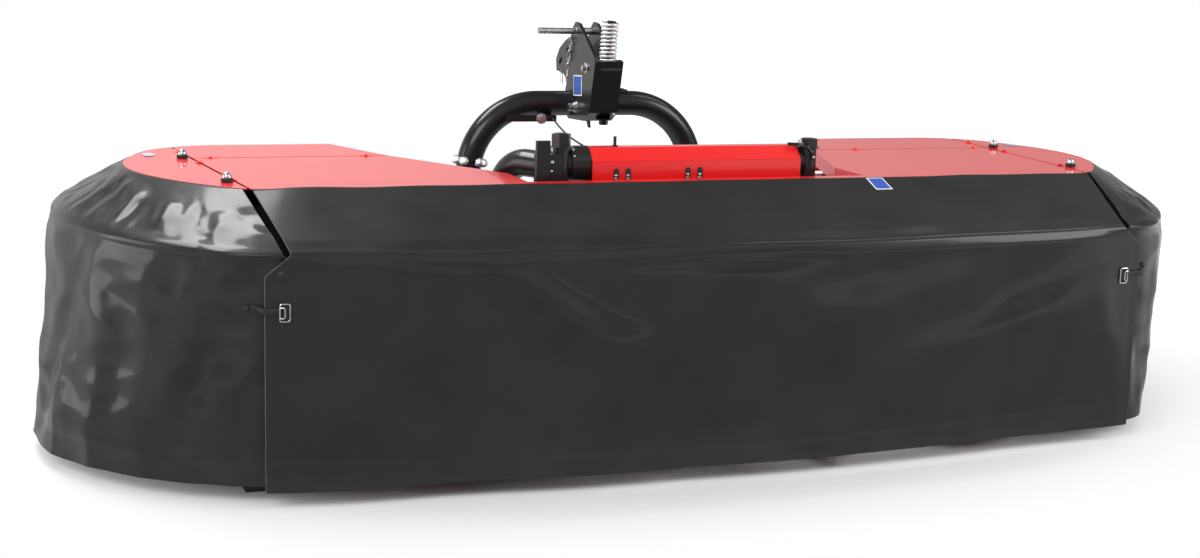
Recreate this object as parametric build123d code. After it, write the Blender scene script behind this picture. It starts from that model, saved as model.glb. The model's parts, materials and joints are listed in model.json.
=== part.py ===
from build123d import *
import math
import os

# Front-mounted disc mower, millimetres. +X is across the machine, -Y is the way it
# drives, +Z is up. The origin is on the ground, in the middle of the overall box.

# ---- driving dimensions: guards --------------------------------------------------
PLATE_TOP = 705          # top face of the red covers
PLATE_T = 3              # cover sheet
CREASE_DROP = 115        # from the covers down to the crease of the curtains
CURTAIN_T = 4            # curtain fabric with its hem allowance
FRONT_HEM_Z = 40         # bottom of the front curtain
SIDE_HEM_Z = 30          # bottom of the side curtains
FRONT_Y = -720           # foremost point of the front curtain
RIM_FRONT_Y = -410       # front edge of the covers
RIM_REAR_Y = 490         # rear edge of the covers
SPLIT_Y = 193            # hinge line of the front guard
NOSE_Y = -660            # front corner of the side curtain at the crease
FLAP_DROP = 50           # height of the front curtain's slanting shoulder
TUCK = 24                # how far the side curtain runs behind the front one
HEM_W = 30               # curtain edge held under the cover's rim
HINGE_GAP_MOVING = 1     # cover edge to hinge axis on the piece that swings
HINGE_GAP_FIXED = 7      # cover edge to hinge axis on the piece beside it
SLOPE_GAP = 15           # open slit between the front and side slopes
WING_X = 475             # inner edge of the covers at the front
WING_BEND_Y = -210       # where the inner edge starts to run outwards
WING_MID_X = 697         # inner edge at the front guard's hinge line, left wing
WING_MID_RIGHT_X = 621   # the same, right wing
WING_REAR_X = 797        # inner edge near the rear, left wing
WING_REAR_RIGHT_X = 777  # the same, right wing
REAR_FLANGE = 102        # depth of the rear covers' back edge
REAR_CURTAIN_Z = 260     # bottom of the rear curtains
STRIP_W = 38             # depth of the strip that joins the two wings
FLANGE_H = 40            # turned-down edges of the covers
RAIL_R = 12              # rails behind the creases
STRUT_R = 8
HINGE_R = 3              # hinge wire
HINGE_LUG_R = 7
HINGE_LUG_T = 6
RUN = 0.05               # radial running clearance
MOVE_GAP = 5             # clearance between pieces that move apart

# ---- driving dimensions: cutterbar -----------------------------------------------
DISC_COUNT = 6
DISC_PITCH = 415
DISC_Y = -350
DISC_R = 185
DISC_H = 36              # disc from rim to crown
KNIFE_R = 255            # knife tip circle
KNIFE_T = 4
KNIFE_W = 45
KNIFE_BOLT_R = 10
KNIFE_PIVOT_R = 165
BAR_Z = 40
BAR_TOP = 90
BAR_W = 170
BAR_OVERHANG = 205       # bar beyond the outermost disc centre
BEARING_R = 62
BEARING_H = 8
SHAFT_R = 20
SKID_W = 330
SKID_T = 6

# ---- driving dimensions: beam and carrier ----------------------------------------
BEAM_Y = -260            # red cross beam and its tube
BEAM_W = 104
BEAM_H = 88
BEAM_RISE = 73           # beam's top above the covers
BEAM_T = 4
BEAM_TUBE_T = 8
BEAM_FOLD = 33           # width of the folded upper corners
SEAT_GAP = 0.2           # between the cover and the tube inside it
BEAM_LEFT_X = -281
BEAM_RIGHT_X = 315
POST_LEFT_X = -359       # upright pivot posts at the beam's ends
POST_RIGHT_X = 351
POST_Y = BEAM_Y - 25
POST_R = 21
POST_CAP_R = 26          # to the corners of its hexagon
POST_CAP_LEFT = (4, 37)  # foot and top of a cap, from the beam's top
POST_CAP_RIGHT = (-4, 18)
BRACKET_X = 421          # outer face of the brackets that hold the posts
BRACKET_FACE_X = (401, 437)   # sides of the left bracket's front plate
TUBE_R = 36              # carrier tubes
WALL = 5                 # of the carriers and the guard frames
ELBOW_X = 395            # where the carriers leave their brackets
ELBOW_Y = -231
ELBOW_Z = {"left": PLATE_TOP + 23.5, "right": PLATE_TOP - 70}
LEFT_ELBOW = (445.5, -128)    # the left carrier turns down here, before its leg
LEFT_LEG_TOP = 420
ELBOW_BEND = {"left": 100, "right": 50}
LEG_X = 505
LEG_Y = 0
FOOT_Z = 60
FOOT_T = 25
ARM_SIZE = 50
FRAME_H = 40             # fixed bars under the covers
LINK_ARM_Z = 410
LINK_ARM_H = 70
LINK_ARM_T = 15

# ---- driving dimensions: headstock -----------------------------------------------
ARCH_Y = 550             # headstock arch
ARCH_R = 38
ARCH_WALL = 6
ARCH_HALF = 365
ARCH_RISE = 111          # arch tube's axis above the covers
ARCH_BEND = 214
ARCH_FOOT = 290
HITCH_T = 12
LINK_PIN_R = 14          # lower hitch pins, 28 mm
LINK_PIN_LEN = 75
LINK_PIN_Z = 330
LINK_PIN_SETBACK = 50    # pins behind the arch
TOP_PIN_R = 9.5          # upper hitch pin, 19 mm
TOP_PIN_LEFT = -155
PIN_STEP = 1.5           # a pin is thicker where it sits in its plates
LUG_X = 24               # inner face of the upper hitch plates
LUG_T = 10
HOUSING_X = 45           # outer face of the tower housing
HOUSING_T = 5
SPRING_R = 26
SPRING_X = 8
SPRING_H = 142

# ---- driving dimensions: drive ---------------------------------------------------
PTO_R = 17.45            # splined input stub, 1 3/8 inch
PTO_LEN = 90
GEARBOX_W = 190
GEARBOX_H = 170
COLUMN_R = 48
SWATH_CONE_H = 120       # cones on the outermost discs

# ---- worked-out places -----------------------------------------------------------
CREASE_Z = PLATE_TOP - CREASE_DROP
PLATE_Z = PLATE_TOP - PLATE_T
HINGE_Z = PLATE_TOP - PLATE_T / 2
FRAME_TOP = PLATE_Z - MOVE_GAP
FRAME_Z = FRAME_TOP - FRAME_H
ARM_Z = FRAME_Z - ARM_SIZE
DISC_X = [(i - (DISC_COUNT - 1) / 2) * DISC_PITCH for i in range(DISC_COUNT)]
END_X = DISC_X[-1]                   # outermost disc centre
DRIVE_X = DISC_X[DISC_COUNT // 2 - 1]
KNIFE_Z = BAR_TOP + 13
DISC_RIM_Z = KNIFE_Z + KNIFE_T + 7
DISC_TOP_Z = DISC_RIM_Z + DISC_H
BAR_END_X = END_X + BAR_OVERHANG
SIDE_X = END_X + 555.0               # outermost point of the side curtains
SPLIT_FRONT_X = END_X + 134.5        # hinge line of a side guard at the front edge
SPLIT_REAR_X = END_X + 224.5         # the same at the rear edge
NOSE_X = END_X + 88.5                # front corner of the side curtain at the crease
FLAP_X = END_X + 139.5               # side edge of the front curtain
END_POST_X = END_X + 222.5
SWATH_X = END_X + 268.5
SPLIT_SLOPE = (SPLIT_REAR_X - SPLIT_FRONT_X) / (RIM_REAR_Y - RIM_FRONT_Y)
SPLIT_ANGLE = math.degrees(math.atan(SPLIT_SLOPE))
BEAM_TOP = PLATE_TOP + BEAM_RISE
BEAM_BOTTOM = BEAM_TOP - BEAM_H
LEG_BOTTOM = FOOT_Z + FOOT_T
GEARBOX_TOP = BEAM_BOTTOM - 90
GEARBOX_Z = GEARBOX_TOP - GEARBOX_H
GEARBOX_REAR_Y = DISC_Y + GEARBOX_W / 2 + 15
PTO_Z = GEARBOX_TOP - GEARBOX_H / 2
ARCH_TOP = PLATE_TOP + ARCH_RISE
LINK_ARM_X = ARCH_HALF + ARCH_R + HITCH_T
TOP_PIN_Y = ARCH_Y - 11
TOP_PIN_Z = ARCH_TOP + 220
SPRING_Y = ARCH_Y - 180
SPRING_Z = ARCH_TOP + 122
SIDES = {"left": -1, "right": 1}

# Arcs of one side's outlines, front to rear, each to an end point by way of another.
# columns: via x beyond END_X, via y, end x beyond END_X, end y
RIM_START = (82.5, RIM_FRONT_Y)
RIM_ARCS = [
    (142.5, RIM_FRONT_Y + 18, 194.5, RIM_FRONT_Y + 65),
    (272.0, RIM_FRONT_Y + 167, 333.0, RIM_FRONT_Y + 280),
    (376.0, 85, 325.0, RIM_REAR_Y - 190),
    (250.0, RIM_REAR_Y - 62, 82.5, RIM_REAR_Y),
]
CREASE_START = (NOSE_X - END_X, NOSE_Y)
CREASE_ARCS = [
    (187.5, NOSE_Y + 28, 272.5, NOSE_Y + 105),
    (416.0, NOSE_Y + 288, 514.0, NOSE_Y + 510),
    (555.0, 95, 528.0, RIM_REAR_Y - 160),
    (432.5, RIM_REAR_Y + 10, 252.5, RIM_REAR_Y + 55),
]
# The side curtain's own upper edge, which starts behind the front curtain.
TUCK_START = (74.5, NOSE_Y + TUCK)
TUCK_ARCS = [(182.5, NOSE_Y + 44, 272.5, NOSE_Y + 105)] + CREASE_ARCS[1:]
FAR_Y = 900              # well outside the machine, for cutting
FAR_X = SIDE_X + 300
FAR_Z = PLATE_TOP + 200


# ---- small helpers --------------------------------------------------------------
def block(x0, x1, y0, y1, z0, z1):
    size = Box(abs(x1 - x0), abs(y1 - y0), abs(z1 - z0))
    return Pos((x0 + x1) / 2, (y0 + y1) / 2, (z0 + z1) / 2) * size


def rod(p, q, radius):
    start = Vector(*p)
    way = Vector(*q) - start
    plane = Plane(origin=start, z_dir=way.normalized())
    return plane * extrude(Circle(radius), way.length)


def prism(points, z0, z1):
    outline = Polyline(*[(x, y, z0) for x, y in points], close=True)
    return extrude(make_face(outline), z1 - z0, dir=(0, 0, 1))


def side_prism(points, x0, x1):
    outline = Polyline(*[(x0, y, z) for y, z in points], close=True)
    return extrude(make_face(outline), x1 - x0, dir=(1, 0, 0))


def arc_tube(start, via, end, radius):
    path = ThreePointArc(start, via, end)
    ring = Plane(origin=path @ 0, z_dir=path % 0) * Circle(radius)
    return sweep(ring, path=path)


def mirror_x(shape):
    return mirror(shape, about=Plane.YZ)


def placed(shape, side):
    return shape if side == "right" else mirror_x(shape)


# ---- outlines of the guards -----------------------------------------------------
def shrink(point, inset):
    """A point of an outline, inset towards the middle; its x counts from END_X."""
    x, y = point
    return (END_X + x) * (SIDE_X - inset) / SIDE_X, y * (FRONT_Y + inset) / FRONT_Y


def side_edges(start, arcs, z, inset, sign):
    edges = []
    here = start
    for via_x, via_y, end_x, end_y in arcs:
        points = [shrink(p, inset) for p in (here, (via_x, via_y), (end_x, end_y))]
        edges.append(ThreePointArc(*[(sign * x, y, z) for x, y in points]))
        here = (end_x, end_y)
    return edges


def outline_face(start, arcs, z, inset, bow_y):
    right = side_edges(start, arcs, z, inset, 1)
    left = side_edges(start, arcs, z, inset, -1)
    front_x, front_y = shrink(start, inset)
    rear_x, rear_y = shrink(arcs[-1][2:], inset)
    bow = shrink((-END_X, bow_y), inset)
    if bow_y == start[1]:
        front = Line((-front_x, front_y, z), (front_x, front_y, z))
    else:
        front = ThreePointArc((-front_x, front_y, z), (*bow, z), (front_x, front_y, z))
    rear = Line((rear_x, rear_y, z), (-rear_x, rear_y, z))
    return make_face(Wire([front, *right, rear, *reversed(left)]))


def rim_face(inset=0, z=PLATE_TOP):
    return outline_face(RIM_START, RIM_ARCS, z, inset, RIM_FRONT_Y)


def crease_face(inset=0, z=CREASE_Z):
    return outline_face(CREASE_START, CREASE_ARCS, z, inset, FRONT_Y)


def tuck_face(inset=0, z=SIDE_HEM_Z):
    return outline_face(TUCK_START, TUCK_ARCS, z, inset, TUCK_START[1])


def split_x(y, offset=0):
    """Hinge line of the right side guard, shifted outwards by offset."""
    return SPLIT_FRONT_X + (y - RIM_FRONT_Y) * SPLIT_SLOPE + offset


def slope_split_x(y, offset=0):
    """Edge between the sloping curtains in front of the covers."""
    slope = (SPLIT_FRONT_X - NOSE_X) / (RIM_FRONT_Y - NOSE_Y)
    return NOSE_X + (y - NOSE_Y) * slope + offset


def inside_region(gap, slope_gap, y_front, y_rear):
    """Plan outline between the two side guards."""
    right = [(slope_split_x(y_front, -slope_gap), y_front)]
    if slope_gap != gap:
        right.append((slope_split_x(RIM_FRONT_Y, -slope_gap), RIM_FRONT_Y))
    right += [(split_x(RIM_FRONT_Y, -gap), RIM_FRONT_Y), (split_x(y_rear, -gap), y_rear)]
    left = [(-x, y) for x, y in reversed(right)]
    return right + left


def outside_region(gap, slope_gap):
    """Plan outline of the right side guard."""
    return [
        (slope_split_x(-FAR_Y, slope_gap), -FAR_Y),
        (slope_split_x(RIM_FRONT_Y, slope_gap), RIM_FRONT_Y),
        (split_x(RIM_FRONT_Y, gap), RIM_FRONT_Y),
        (split_x(FAR_Y, gap), FAR_Y),
        (FAR_X, FAR_Y),
        (FAR_X, -FAR_Y),
    ]


SLOPE_SHELL = loft([crease_face(), rim_face()], ruled=True) - loft(
    [crease_face(CURTAIN_T), rim_face(CURTAIN_T)], ruled=True
)
SLOPE_SHELL = SLOPE_SHELL - block(-FAR_X, FAR_X, -FAR_Y, FAR_Y, PLATE_Z, FAR_Z)
# The curtain's upper edge lies under the cover's rim.
TOP_HEM = loft([crease_face(), rim_face()], ruled=True) & block(
    -FAR_X, FAR_X, -FAR_Y, FAR_Y, PLATE_Z - CURTAIN_T, PLATE_Z
)
TOP_HEM = TOP_HEM - extrude(rim_face(HEM_W, PLATE_Z - 2 * CURTAIN_T), 3 * CURTAIN_T, dir=(0, 0, 1))
CURTAIN_TOP = SLOPE_SHELL + TOP_HEM


# ---- hinges ---------------------------------------------------------------------
# A hinge is a wire through lugs that stand on the guard frame. Local Y is its axis.
FRONT_HINGE_X = (WING_MID_X + 63, SPLIT_FRONT_X + 8)
SIDE_HINGE_Y = (-250, 90, 330)


def hinge_pin():
    return Rot(90, 0, 0) * Cylinder(HINGE_R, 36)


def hinge_lug():
    foot = block(-HINGE_LUG_R, HINGE_LUG_R, -HINGE_LUG_T / 2, HINGE_LUG_T / 2, FRAME_TOP - HINGE_Z, 0)
    eye = Rot(90, 0, 0) * Cylinder(HINGE_LUG_R, HINGE_LUG_T)
    hole = Rot(90, 0, 0) * Cylinder(HINGE_R + RUN, HINGE_LUG_T + 2)
    return foot + eye - hole


def hinge_notch():
    return block(-HINGE_LUG_R - 5, HINGE_LUG_R + 5, -HINGE_LUG_T / 2 - 5, HINGE_LUG_T / 2 + 5, -10, 10)


def front_hinge_places():
    places = []
    for x in FRONT_HINGE_X:
        for sign in (-1, 1):
            places.append(Location((sign * x, SPLIT_Y, HINGE_Z), (0, 0, 90)))
    return places


def side_hinge_places():
    return [Location((split_x(y), y, HINGE_Z), (0, 0, -SPLIT_ANGLE)) for y in SIDE_HINGE_Y]


def at_places(shape, places):
    return [place * shape for place in places]


def joined(first, others):
    for other in others:
        first = first + other
    return first


def without(first, others):
    for other in others:
        first = first - other
    return first


# ---- covers and curtains --------------------------------------------------------
def flange(p, q, z_top=PLATE_Z, height=FLANGE_H, thick=PLATE_T):
    """Turned-down edge from p to q in plan, its sheet on the left of that way."""
    way = (Vector(*q) - Vector(*p)).normalized()
    out = Vector(-way.Y, way.X) * thick
    corners = [p, q, (q[0] + out.X, q[1] + out.Y), (p[0] + out.X, p[1] + out.Y)]
    return prism(corners, z_top - height, z_top)


def wing_mid(side):
    return WING_MID_X if side == "left" else WING_MID_RIGHT_X


def wing_rear(side):
    return WING_REAR_X if side == "left" else WING_REAR_RIGHT_X


def wing_edge(side):
    """Plan outline of a wing's inner edge, front to rear, as on the right."""
    return [
        (WING_X, RIM_FRONT_Y + STRIP_W),
        (WING_X, WING_BEND_Y),
        (wing_mid(side), SPLIT_Y + HINGE_GAP_FIXED),
        (wing_rear(side), RIM_REAR_Y - 15),
        (wing_rear(side), FAR_Y),
    ]


def front_opening():
    """Plan outline of the gap between the wings, open towards the rear."""
    return wing_edge("right") + [(-x, y) for x, y in reversed(wing_edge("left"))]


def cover_sheet(opening):
    return extrude(rim_face(0, PLATE_Z), PLATE_T, dir=(0, 0, 1)) - prism(opening, 0, FAR_Z)


def front_cover():
    region = inside_region(HINGE_GAP_FIXED, HINGE_GAP_FIXED, -FAR_Y, SPLIT_Y - HINGE_GAP_MOVING)
    sheet = cover_sheet(front_opening()) & prism(region, 0, FAR_Z)
    strip_y = RIM_FRONT_Y + STRIP_W
    straight = flange((WING_X, WING_BEND_Y), (WING_X, strip_y - PLATE_T))
    lip_x = WING_X + PLATE_T
    lip = block(-lip_x, lip_x, strip_y - PLATE_T, strip_y, PLATE_Z - 25, PLATE_Z)
    for side in SIDES:
        slant = flange((wing_mid(side) - 4, SPLIT_Y - 4), (WING_X, WING_BEND_Y))
        sheet = sheet + placed(straight, side) + placed(slant, side)
    sheet = sheet + lip
    front_places = front_hinge_places()
    sheet = without(sheet, at_places(hinge_notch(), front_places))
    side_notches = at_places(hinge_notch(), side_hinge_places())
    sheet = without(sheet, side_notches)
    sheet = without(sheet, [mirror_x(n) for n in side_notches])
    return joined(sheet, at_places(hinge_pin(), front_places))


def rear_cover(side):
    outline = [
        (0, SPLIT_Y + HINGE_GAP_FIXED),
        (split_x(SPLIT_Y + HINGE_GAP_FIXED, -HINGE_GAP_FIXED), SPLIT_Y + HINGE_GAP_FIXED),
        (split_x(FAR_Y, -HINGE_GAP_FIXED), FAR_Y),
        (0, FAR_Y),
    ]
    edge = wing_edge(side)
    opening = edge + [(-FAR_Y, FAR_Y), (-FAR_Y, RIM_FRONT_Y + STRIP_W)]
    sheet = cover_sheet(opening) & prism(outline, 0, FAR_Z)
    slant = flange(edge[3], edge[2])
    back_z = PLATE_Z - REAR_FLANGE
    back = block(wing_rear(side), END_X + 80.5, RIM_REAR_Y - PLATE_T, RIM_REAR_Y, back_z, PLATE_Z)
    pad_x = WING_MID_X + 200
    bar_pad = block(pad_x, pad_x + 60, SPLIT_Y + HINGE_GAP_FIXED + 3, SPLIT_Y + 20, FRAME_TOP, PLATE_Z)
    arm_pad = Location((split_x(330), 330, 0), (0, 0, -SPLIT_ANGLE)) * block(
        -20, -HINGE_GAP_FIXED - 2, -30, 30, FRAME_TOP, PLATE_Z
    )
    sheet = sheet + slant + back + bar_pad + arm_pad
    sheet = without(sheet, at_places(hinge_notch(), front_hinge_places() + side_hinge_places()))
    return placed(sheet, side)


def side_cap(side):
    region = outside_region(HINGE_GAP_MOVING, SLOPE_GAP / 2)
    sheet = cover_sheet(front_opening()) & prism(region, 0, FAR_Z)
    places = side_hinge_places()
    sheet = without(sheet, at_places(hinge_notch(), places))
    return placed(joined(sheet, at_places(hinge_pin(), places)), side)


def front_curtain():
    region = prism(inside_region(HINGE_GAP_FIXED, SLOPE_GAP / 2, -FAR_Y, SPLIT_Y - 60), 0, FAR_Z)
    slope = CURTAIN_TOP & region
    slope = slope - prism(front_opening(), 0, FAR_Z)
    shoulder = CREASE_Z - FLAP_DROP
    flap = Polyline(
        (-FLAP_X, FRONT_Y - 5, FRONT_HEM_Z),
        (-FLAP_X, FRONT_Y - 5, shoulder),
        (-NOSE_X + 8, FRONT_Y - 5, CREASE_Z),
        (NOSE_X - 8, FRONT_Y - 5, CREASE_Z),
        (FLAP_X, FRONT_Y - 5, shoulder),
        (FLAP_X, FRONT_Y - 5, FRONT_HEM_Z),
        close=True,
    )
    hanging = straight_front() & extrude(make_face(flap), 120, dir=(0, 1, 0))
    return slope + hanging


def straight_front():
    """The bowed front panel, carried on past the side curtains' corners."""
    radius = ((NOSE_Y - FRONT_Y) ** 2 + NOSE_X**2) / (2 * (NOSE_Y - FRONT_Y))
    centre = Pos(0, FRONT_Y + radius, FRONT_HEM_Z)
    height = CREASE_Z - FRONT_HEM_Z
    ring = extrude(Circle(radius) - Circle(radius - CURTAIN_T), height)
    return (centre * ring) & block(-FAR_X, FAR_X, FRONT_Y - 5, NOSE_Y + 20, FRONT_HEM_Z, CREASE_Z)


def side_curtain(side):
    region = prism(outside_region(HINGE_GAP_MOVING, SLOPE_GAP / 2), 0, FAR_Z)
    slope = CURTAIN_TOP & region
    height = CREASE_Z - SIDE_HEM_Z
    hanging = extrude(tuck_face(0), height, dir=(0, 0, 1)) - extrude(
        tuck_face(CURTAIN_T), height, dir=(0, 0, 1)
    )
    keep = [
        (NOSE_X - 10, -FAR_Y),
        (NOSE_X - 10, 0),
        (SPLIT_REAR_X + 28, SPLIT_Y),
        (SPLIT_REAR_X + 20, FAR_Y),
        (FAR_X, FAR_Y),
        (FAR_X, -FAR_Y),
    ]
    hanging = hanging & prism(keep, 0, FAR_Z)
    return placed(slope + hanging, side)


RAIL_INSET = CURTAIN_T + RAIL_R + 1.5
RAIL_Z = CREASE_Z - RAIL_R - 3
SIDE_STRUTS = ((END_X + 197.5, -250), (END_X + 262.5, 80))   # where the struts leave the cap


def front_frame():
    """Tube behind the front crease and the struts that carry it from the cover."""
    x_end, y_end = shrink((NOSE_X - END_X - 30, NOSE_Y - 3), RAIL_INSET)
    y_mid = FRONT_Y + RAIL_INSET
    frame = arc_tube((-x_end, y_end, RAIL_Z), (0, y_mid, RAIL_Z), (x_end, y_end, RAIL_Z), RAIL_R)
    for x in (-END_X - 3, -END_X / 2 - 120, END_X / 2 + 120, END_X + 3):
        plate = block(x - 25, x + 25, RIM_FRONT_Y + 50, RIM_FRONT_Y + 130, PLATE_Z - 8, PLATE_Z)
        y_rail = y_mid + (y_end - y_mid) * (x / x_end) ** 2
        strut = rod((x, RIM_FRONT_Y + 70, PLATE_Z - 16), (x, y_rail, RAIL_Z), STRUT_R)
        frame = frame + plate + strut
        frame = frame + block(x - 8, x + 8, RIM_FRONT_Y + 60, RIM_FRONT_Y + 80, PLATE_Z - 18, PLATE_Z)
    return frame


def side_frame(side):
    """Two bowed rails behind the side crease, each carried by a strut from the cap."""
    start = shrink(CREASE_ARCS[0][2:], RAIL_INSET)
    rails = []
    here = start
    for arc, (cap_x, cap_y) in zip(CREASE_ARCS[1:3], SIDE_STRUTS):
        via = shrink(arc[:2], RAIL_INSET)
        end = shrink(arc[2:], RAIL_INSET)
        path = ThreePointArc((*here, RAIL_Z), (*via, RAIL_Z), (*end, RAIL_Z)).trim(0.02, 0.98)
        rail = sweep(Plane(origin=path @ 0, z_dir=path % 0) * Circle(RAIL_R), path=path)
        strut = rod((cap_x, cap_y, PLATE_Z - 16), (*via, RAIL_Z), STRUT_R)
        pad = block(cap_x - 18, cap_x + 18, cap_y - 25, cap_y + 25, PLATE_Z - 8, PLATE_Z)
        neck = block(cap_x - 8, cap_x + 8, cap_y - 8, cap_y + 8, PLATE_Z - 22, PLATE_Z)
        rails.append(placed(rail + strut + pad + neck, side))
        here = end
    return rails


def guard_frame(side):
    """Fixed bars under the covers, with the hinge lugs."""
    arm_start = RIM_FRONT_Y + 60
    arm_end = RIM_REAR_Y - 105
    length = (arm_end - arm_start) / math.cos(math.radians(SPLIT_ANGLE))
    middle = (arm_start + arm_end) / 2

    def bars(inset, past):
        """The bars' outer shape, or with an inset what is inside them, run past their ends."""
        half = FRAME_H / 2 - inset
        z0 = FRAME_Z + inset
        z1 = FRAME_TOP - inset
        place = Location((split_x(middle), middle, (z0 + z1) / 2), (0, 0, -SPLIT_ANGLE))
        arm = place * Box(2 * half, length + 2 * past, z1 - z0)
        x0 = WING_MID_X + 20
        rear_bar = block(x0 - past, split_x(SPLIT_Y), SPLIT_Y - half, SPLIT_Y + half, z0, z1)
        inner_x = WING_MID_X + 63
        y0 = LEG_Y - ARM_SIZE / 2
        inner = block(inner_x - half, inner_x + half, y0 - past, SPLIT_Y, z0, z1)
        return arm + rear_bar + inner

    frame = bars(0, 0) - bars(WALL, 1)
    places = side_hinge_places() + [p for p in front_hinge_places() if p.position.X > 0]
    return placed(joined(frame, at_places(hinge_lug(), places)), side)


def rear_curtains():
    """Short curtains hung behind the rear covers, outside the swath opening."""
    top = PLATE_Z - REAR_FLANGE + 60
    x1 = END_X + 162.5
    sheet = block(WING_REAR_X + 20, x1, RIM_REAR_Y, RIM_REAR_Y + CURTAIN_T, REAR_CURTAIN_Z, top)
    return [sheet, mirror_x(sheet)]


# ---- cutterbar ------------------------------------------------------------------
def cutterbar():
    """Flat gear case with a round bay under each disc."""
    bar = block(-BAR_END_X, BAR_END_X, DISC_Y - BAR_W / 2, DISC_Y + BAR_W / 2, BAR_Z, BAR_TOP)
    for x in DISC_X:
        bar = bar + Pos(x, DISC_Y - 20, (BAR_Z + BAR_TOP) / 2) * Cylinder(105, BAR_TOP - BAR_Z)
    for x in DISC_X:
        bar = bar - rod((x, DISC_Y, BAR_TOP - 30), (x, DISC_Y, BAR_TOP + 1), SHAFT_R + 4)
    return bar


def bar_skids():
    """A bent shoe under each disc, on two ribs below the bar."""
    front = DISC_Y - 190
    t = SKID_T
    skin = [
        (front, BAR_Z + 6), (front - 4, 30), (front + 26, 0), (DISC_Y + 150, 0), (DISC_Y + 205, 22),
        (DISC_Y + 203, 22 + t), (DISC_Y + 149, t), (front + 29, t), (front + t, 32), (front + t, BAR_Z + 6),
    ]
    rib = [
        (front + 40, t), (DISC_Y + 100, t), (DISC_Y + 80, BAR_Z), (DISC_Y - BAR_W / 2 - 30, BAR_Z),
        (front + 40, BAR_Z / 2),
    ]
    skids = []
    for x in DISC_X:
        plate = side_prism(skin, x - SKID_W / 2, x + SKID_W / 2)
        for offset in (-SKID_W / 3, SKID_W / 3):
            plate = plate + side_prism(rib, x + offset - 4, x + offset + 4)
        skids.append(plate)
    return skids


def disc_bearings():
    bearings = []
    for x in DISC_X:
        low = (x, DISC_Y, BAR_TOP)
        high = (x, DISC_Y, BAR_TOP + BEARING_H)
        bearings.append(rod(low, high, BEARING_R) - rod(low, high, SHAFT_R + RUN))
    return bearings


def disc_phase(index):
    """Knives of neighbouring discs stand at right angles, so that their circles can cross."""
    return 90 * (index % 2)


def disc(index):
    hub_z = BAR_TOP + BEARING_H + 6
    profile = [
        (0, BAR_TOP - 20), (SHAFT_R, BAR_TOP - 20), (SHAFT_R, hub_z), (BEARING_R + 8, hub_z),
        (BEARING_R + 38, DISC_RIM_Z), (DISC_R, DISC_RIM_Z), (DISC_R, DISC_RIM_Z + 5),
        (110, DISC_TOP_Z - 20), (80, DISC_TOP_Z), (0, DISC_TOP_Z),
    ]
    outline = Polyline(*[(r, 0, z) for r, z in profile], close=True)
    body = revolve(make_face(outline), Axis.Z)
    for turn in (0, 180):
        bolt = rod((KNIFE_PIVOT_R, 0, KNIFE_Z - 5), (KNIFE_PIVOT_R, 0, DISC_RIM_Z + 3), KNIFE_BOLT_R)
        head = rod((KNIFE_PIVOT_R, 0, KNIFE_Z - 5), (KNIFE_PIVOT_R, 0, KNIFE_Z - 1), KNIFE_BOLT_R + 5)
        body = body + Rot(0, 0, turn + disc_phase(index)) * (bolt + head)
    if index in (0, DISC_COUNT - 1):
        body = body + Pos(0, 0, DISC_TOP_Z + SWATH_CONE_H / 2) * Cone(80, 55, SWATH_CONE_H)
    return Pos(DISC_X[index], DISC_Y, 0) * body


def knives(index):
    pair = []
    for turn in (0, 180):
        blade = block(KNIFE_PIVOT_R - 20, KNIFE_R, -KNIFE_W / 2, KNIFE_W / 2, KNIFE_Z, KNIFE_Z + KNIFE_T)
        hole = rod((KNIFE_PIVOT_R, 0, BAR_TOP), (KNIFE_PIVOT_R, 0, DISC_TOP_Z), KNIFE_BOLT_R + RUN)
        place = Pos(DISC_X[index], DISC_Y, 0) * Rot(0, 0, turn + disc_phase(index))
        pair.append(place * (blade - hole))
    return pair


def drive_column():
    """Shaft tube from the gearbox down to the driven disc; it turns with the disc."""
    return rod((DRIVE_X, DISC_Y, DISC_TOP_Z), (DRIVE_X, DISC_Y, GEARBOX_Z - 6), COLUMN_R)


def gearbox():
    """Bevel gearbox hung from the beam."""
    half = GEARBOX_W / 2
    body = block(DRIVE_X - half, DRIVE_X + half, DISC_Y - half, GEARBOX_REAR_Y, GEARBOX_Z, GEARBOX_TOP)
    body = fillet(body.edges().filter_by(Axis.Z), 30)
    hanger = block(DRIVE_X - 60, DRIVE_X + 60, BEAM_Y - 25, BEAM_Y + 25, GEARBOX_TOP, BEAM_BOTTOM)
    mouth_r = PTO_R + PIN_STEP + RUN
    mouth = rod((DRIVE_X, GEARBOX_REAR_Y - 40, PTO_Z), (DRIVE_X, GEARBOX_REAR_Y + 1, PTO_Z), mouth_r)
    return body + hanger - mouth


def input_shaft():
    """Stub in the gearbox's mouth; its journal is a little thicker than the free end."""
    mouth = (DRIVE_X, GEARBOX_REAR_Y, PTO_Z)
    stub = rod(mouth, (DRIVE_X, GEARBOX_REAR_Y + PTO_LEN, PTO_Z), PTO_R)
    stub = chamfer(stub.edges().sort_by(Axis.Y)[-1], 2)
    return stub + rod((DRIVE_X, GEARBOX_REAR_Y - 30, PTO_Z), mouth, PTO_R + PIN_STEP)


# ---- carrier --------------------------------------------------------------------
def carrier_bends(side):
    """Corners of a carrier's path from its bracket to its foot, as on the right."""
    z = ELBOW_Z[side]
    dx, dy = LEFT_ELBOW[0] - ELBOW_X, LEFT_ELBOW[1] - ELBOW_Y
    start = (ELBOW_X - 0.25 * dx, ELBOW_Y - 0.25 * dy, z)
    if side == "left":
        bends = [(*LEFT_ELBOW, z), (LEG_X, LEG_Y, LEFT_LEG_TOP)]
    else:
        bends = [(LEG_X, LEG_Y, z)]
    return [start] + bends + [(LEG_X, LEG_Y, LEG_BOTTOM)]


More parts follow.
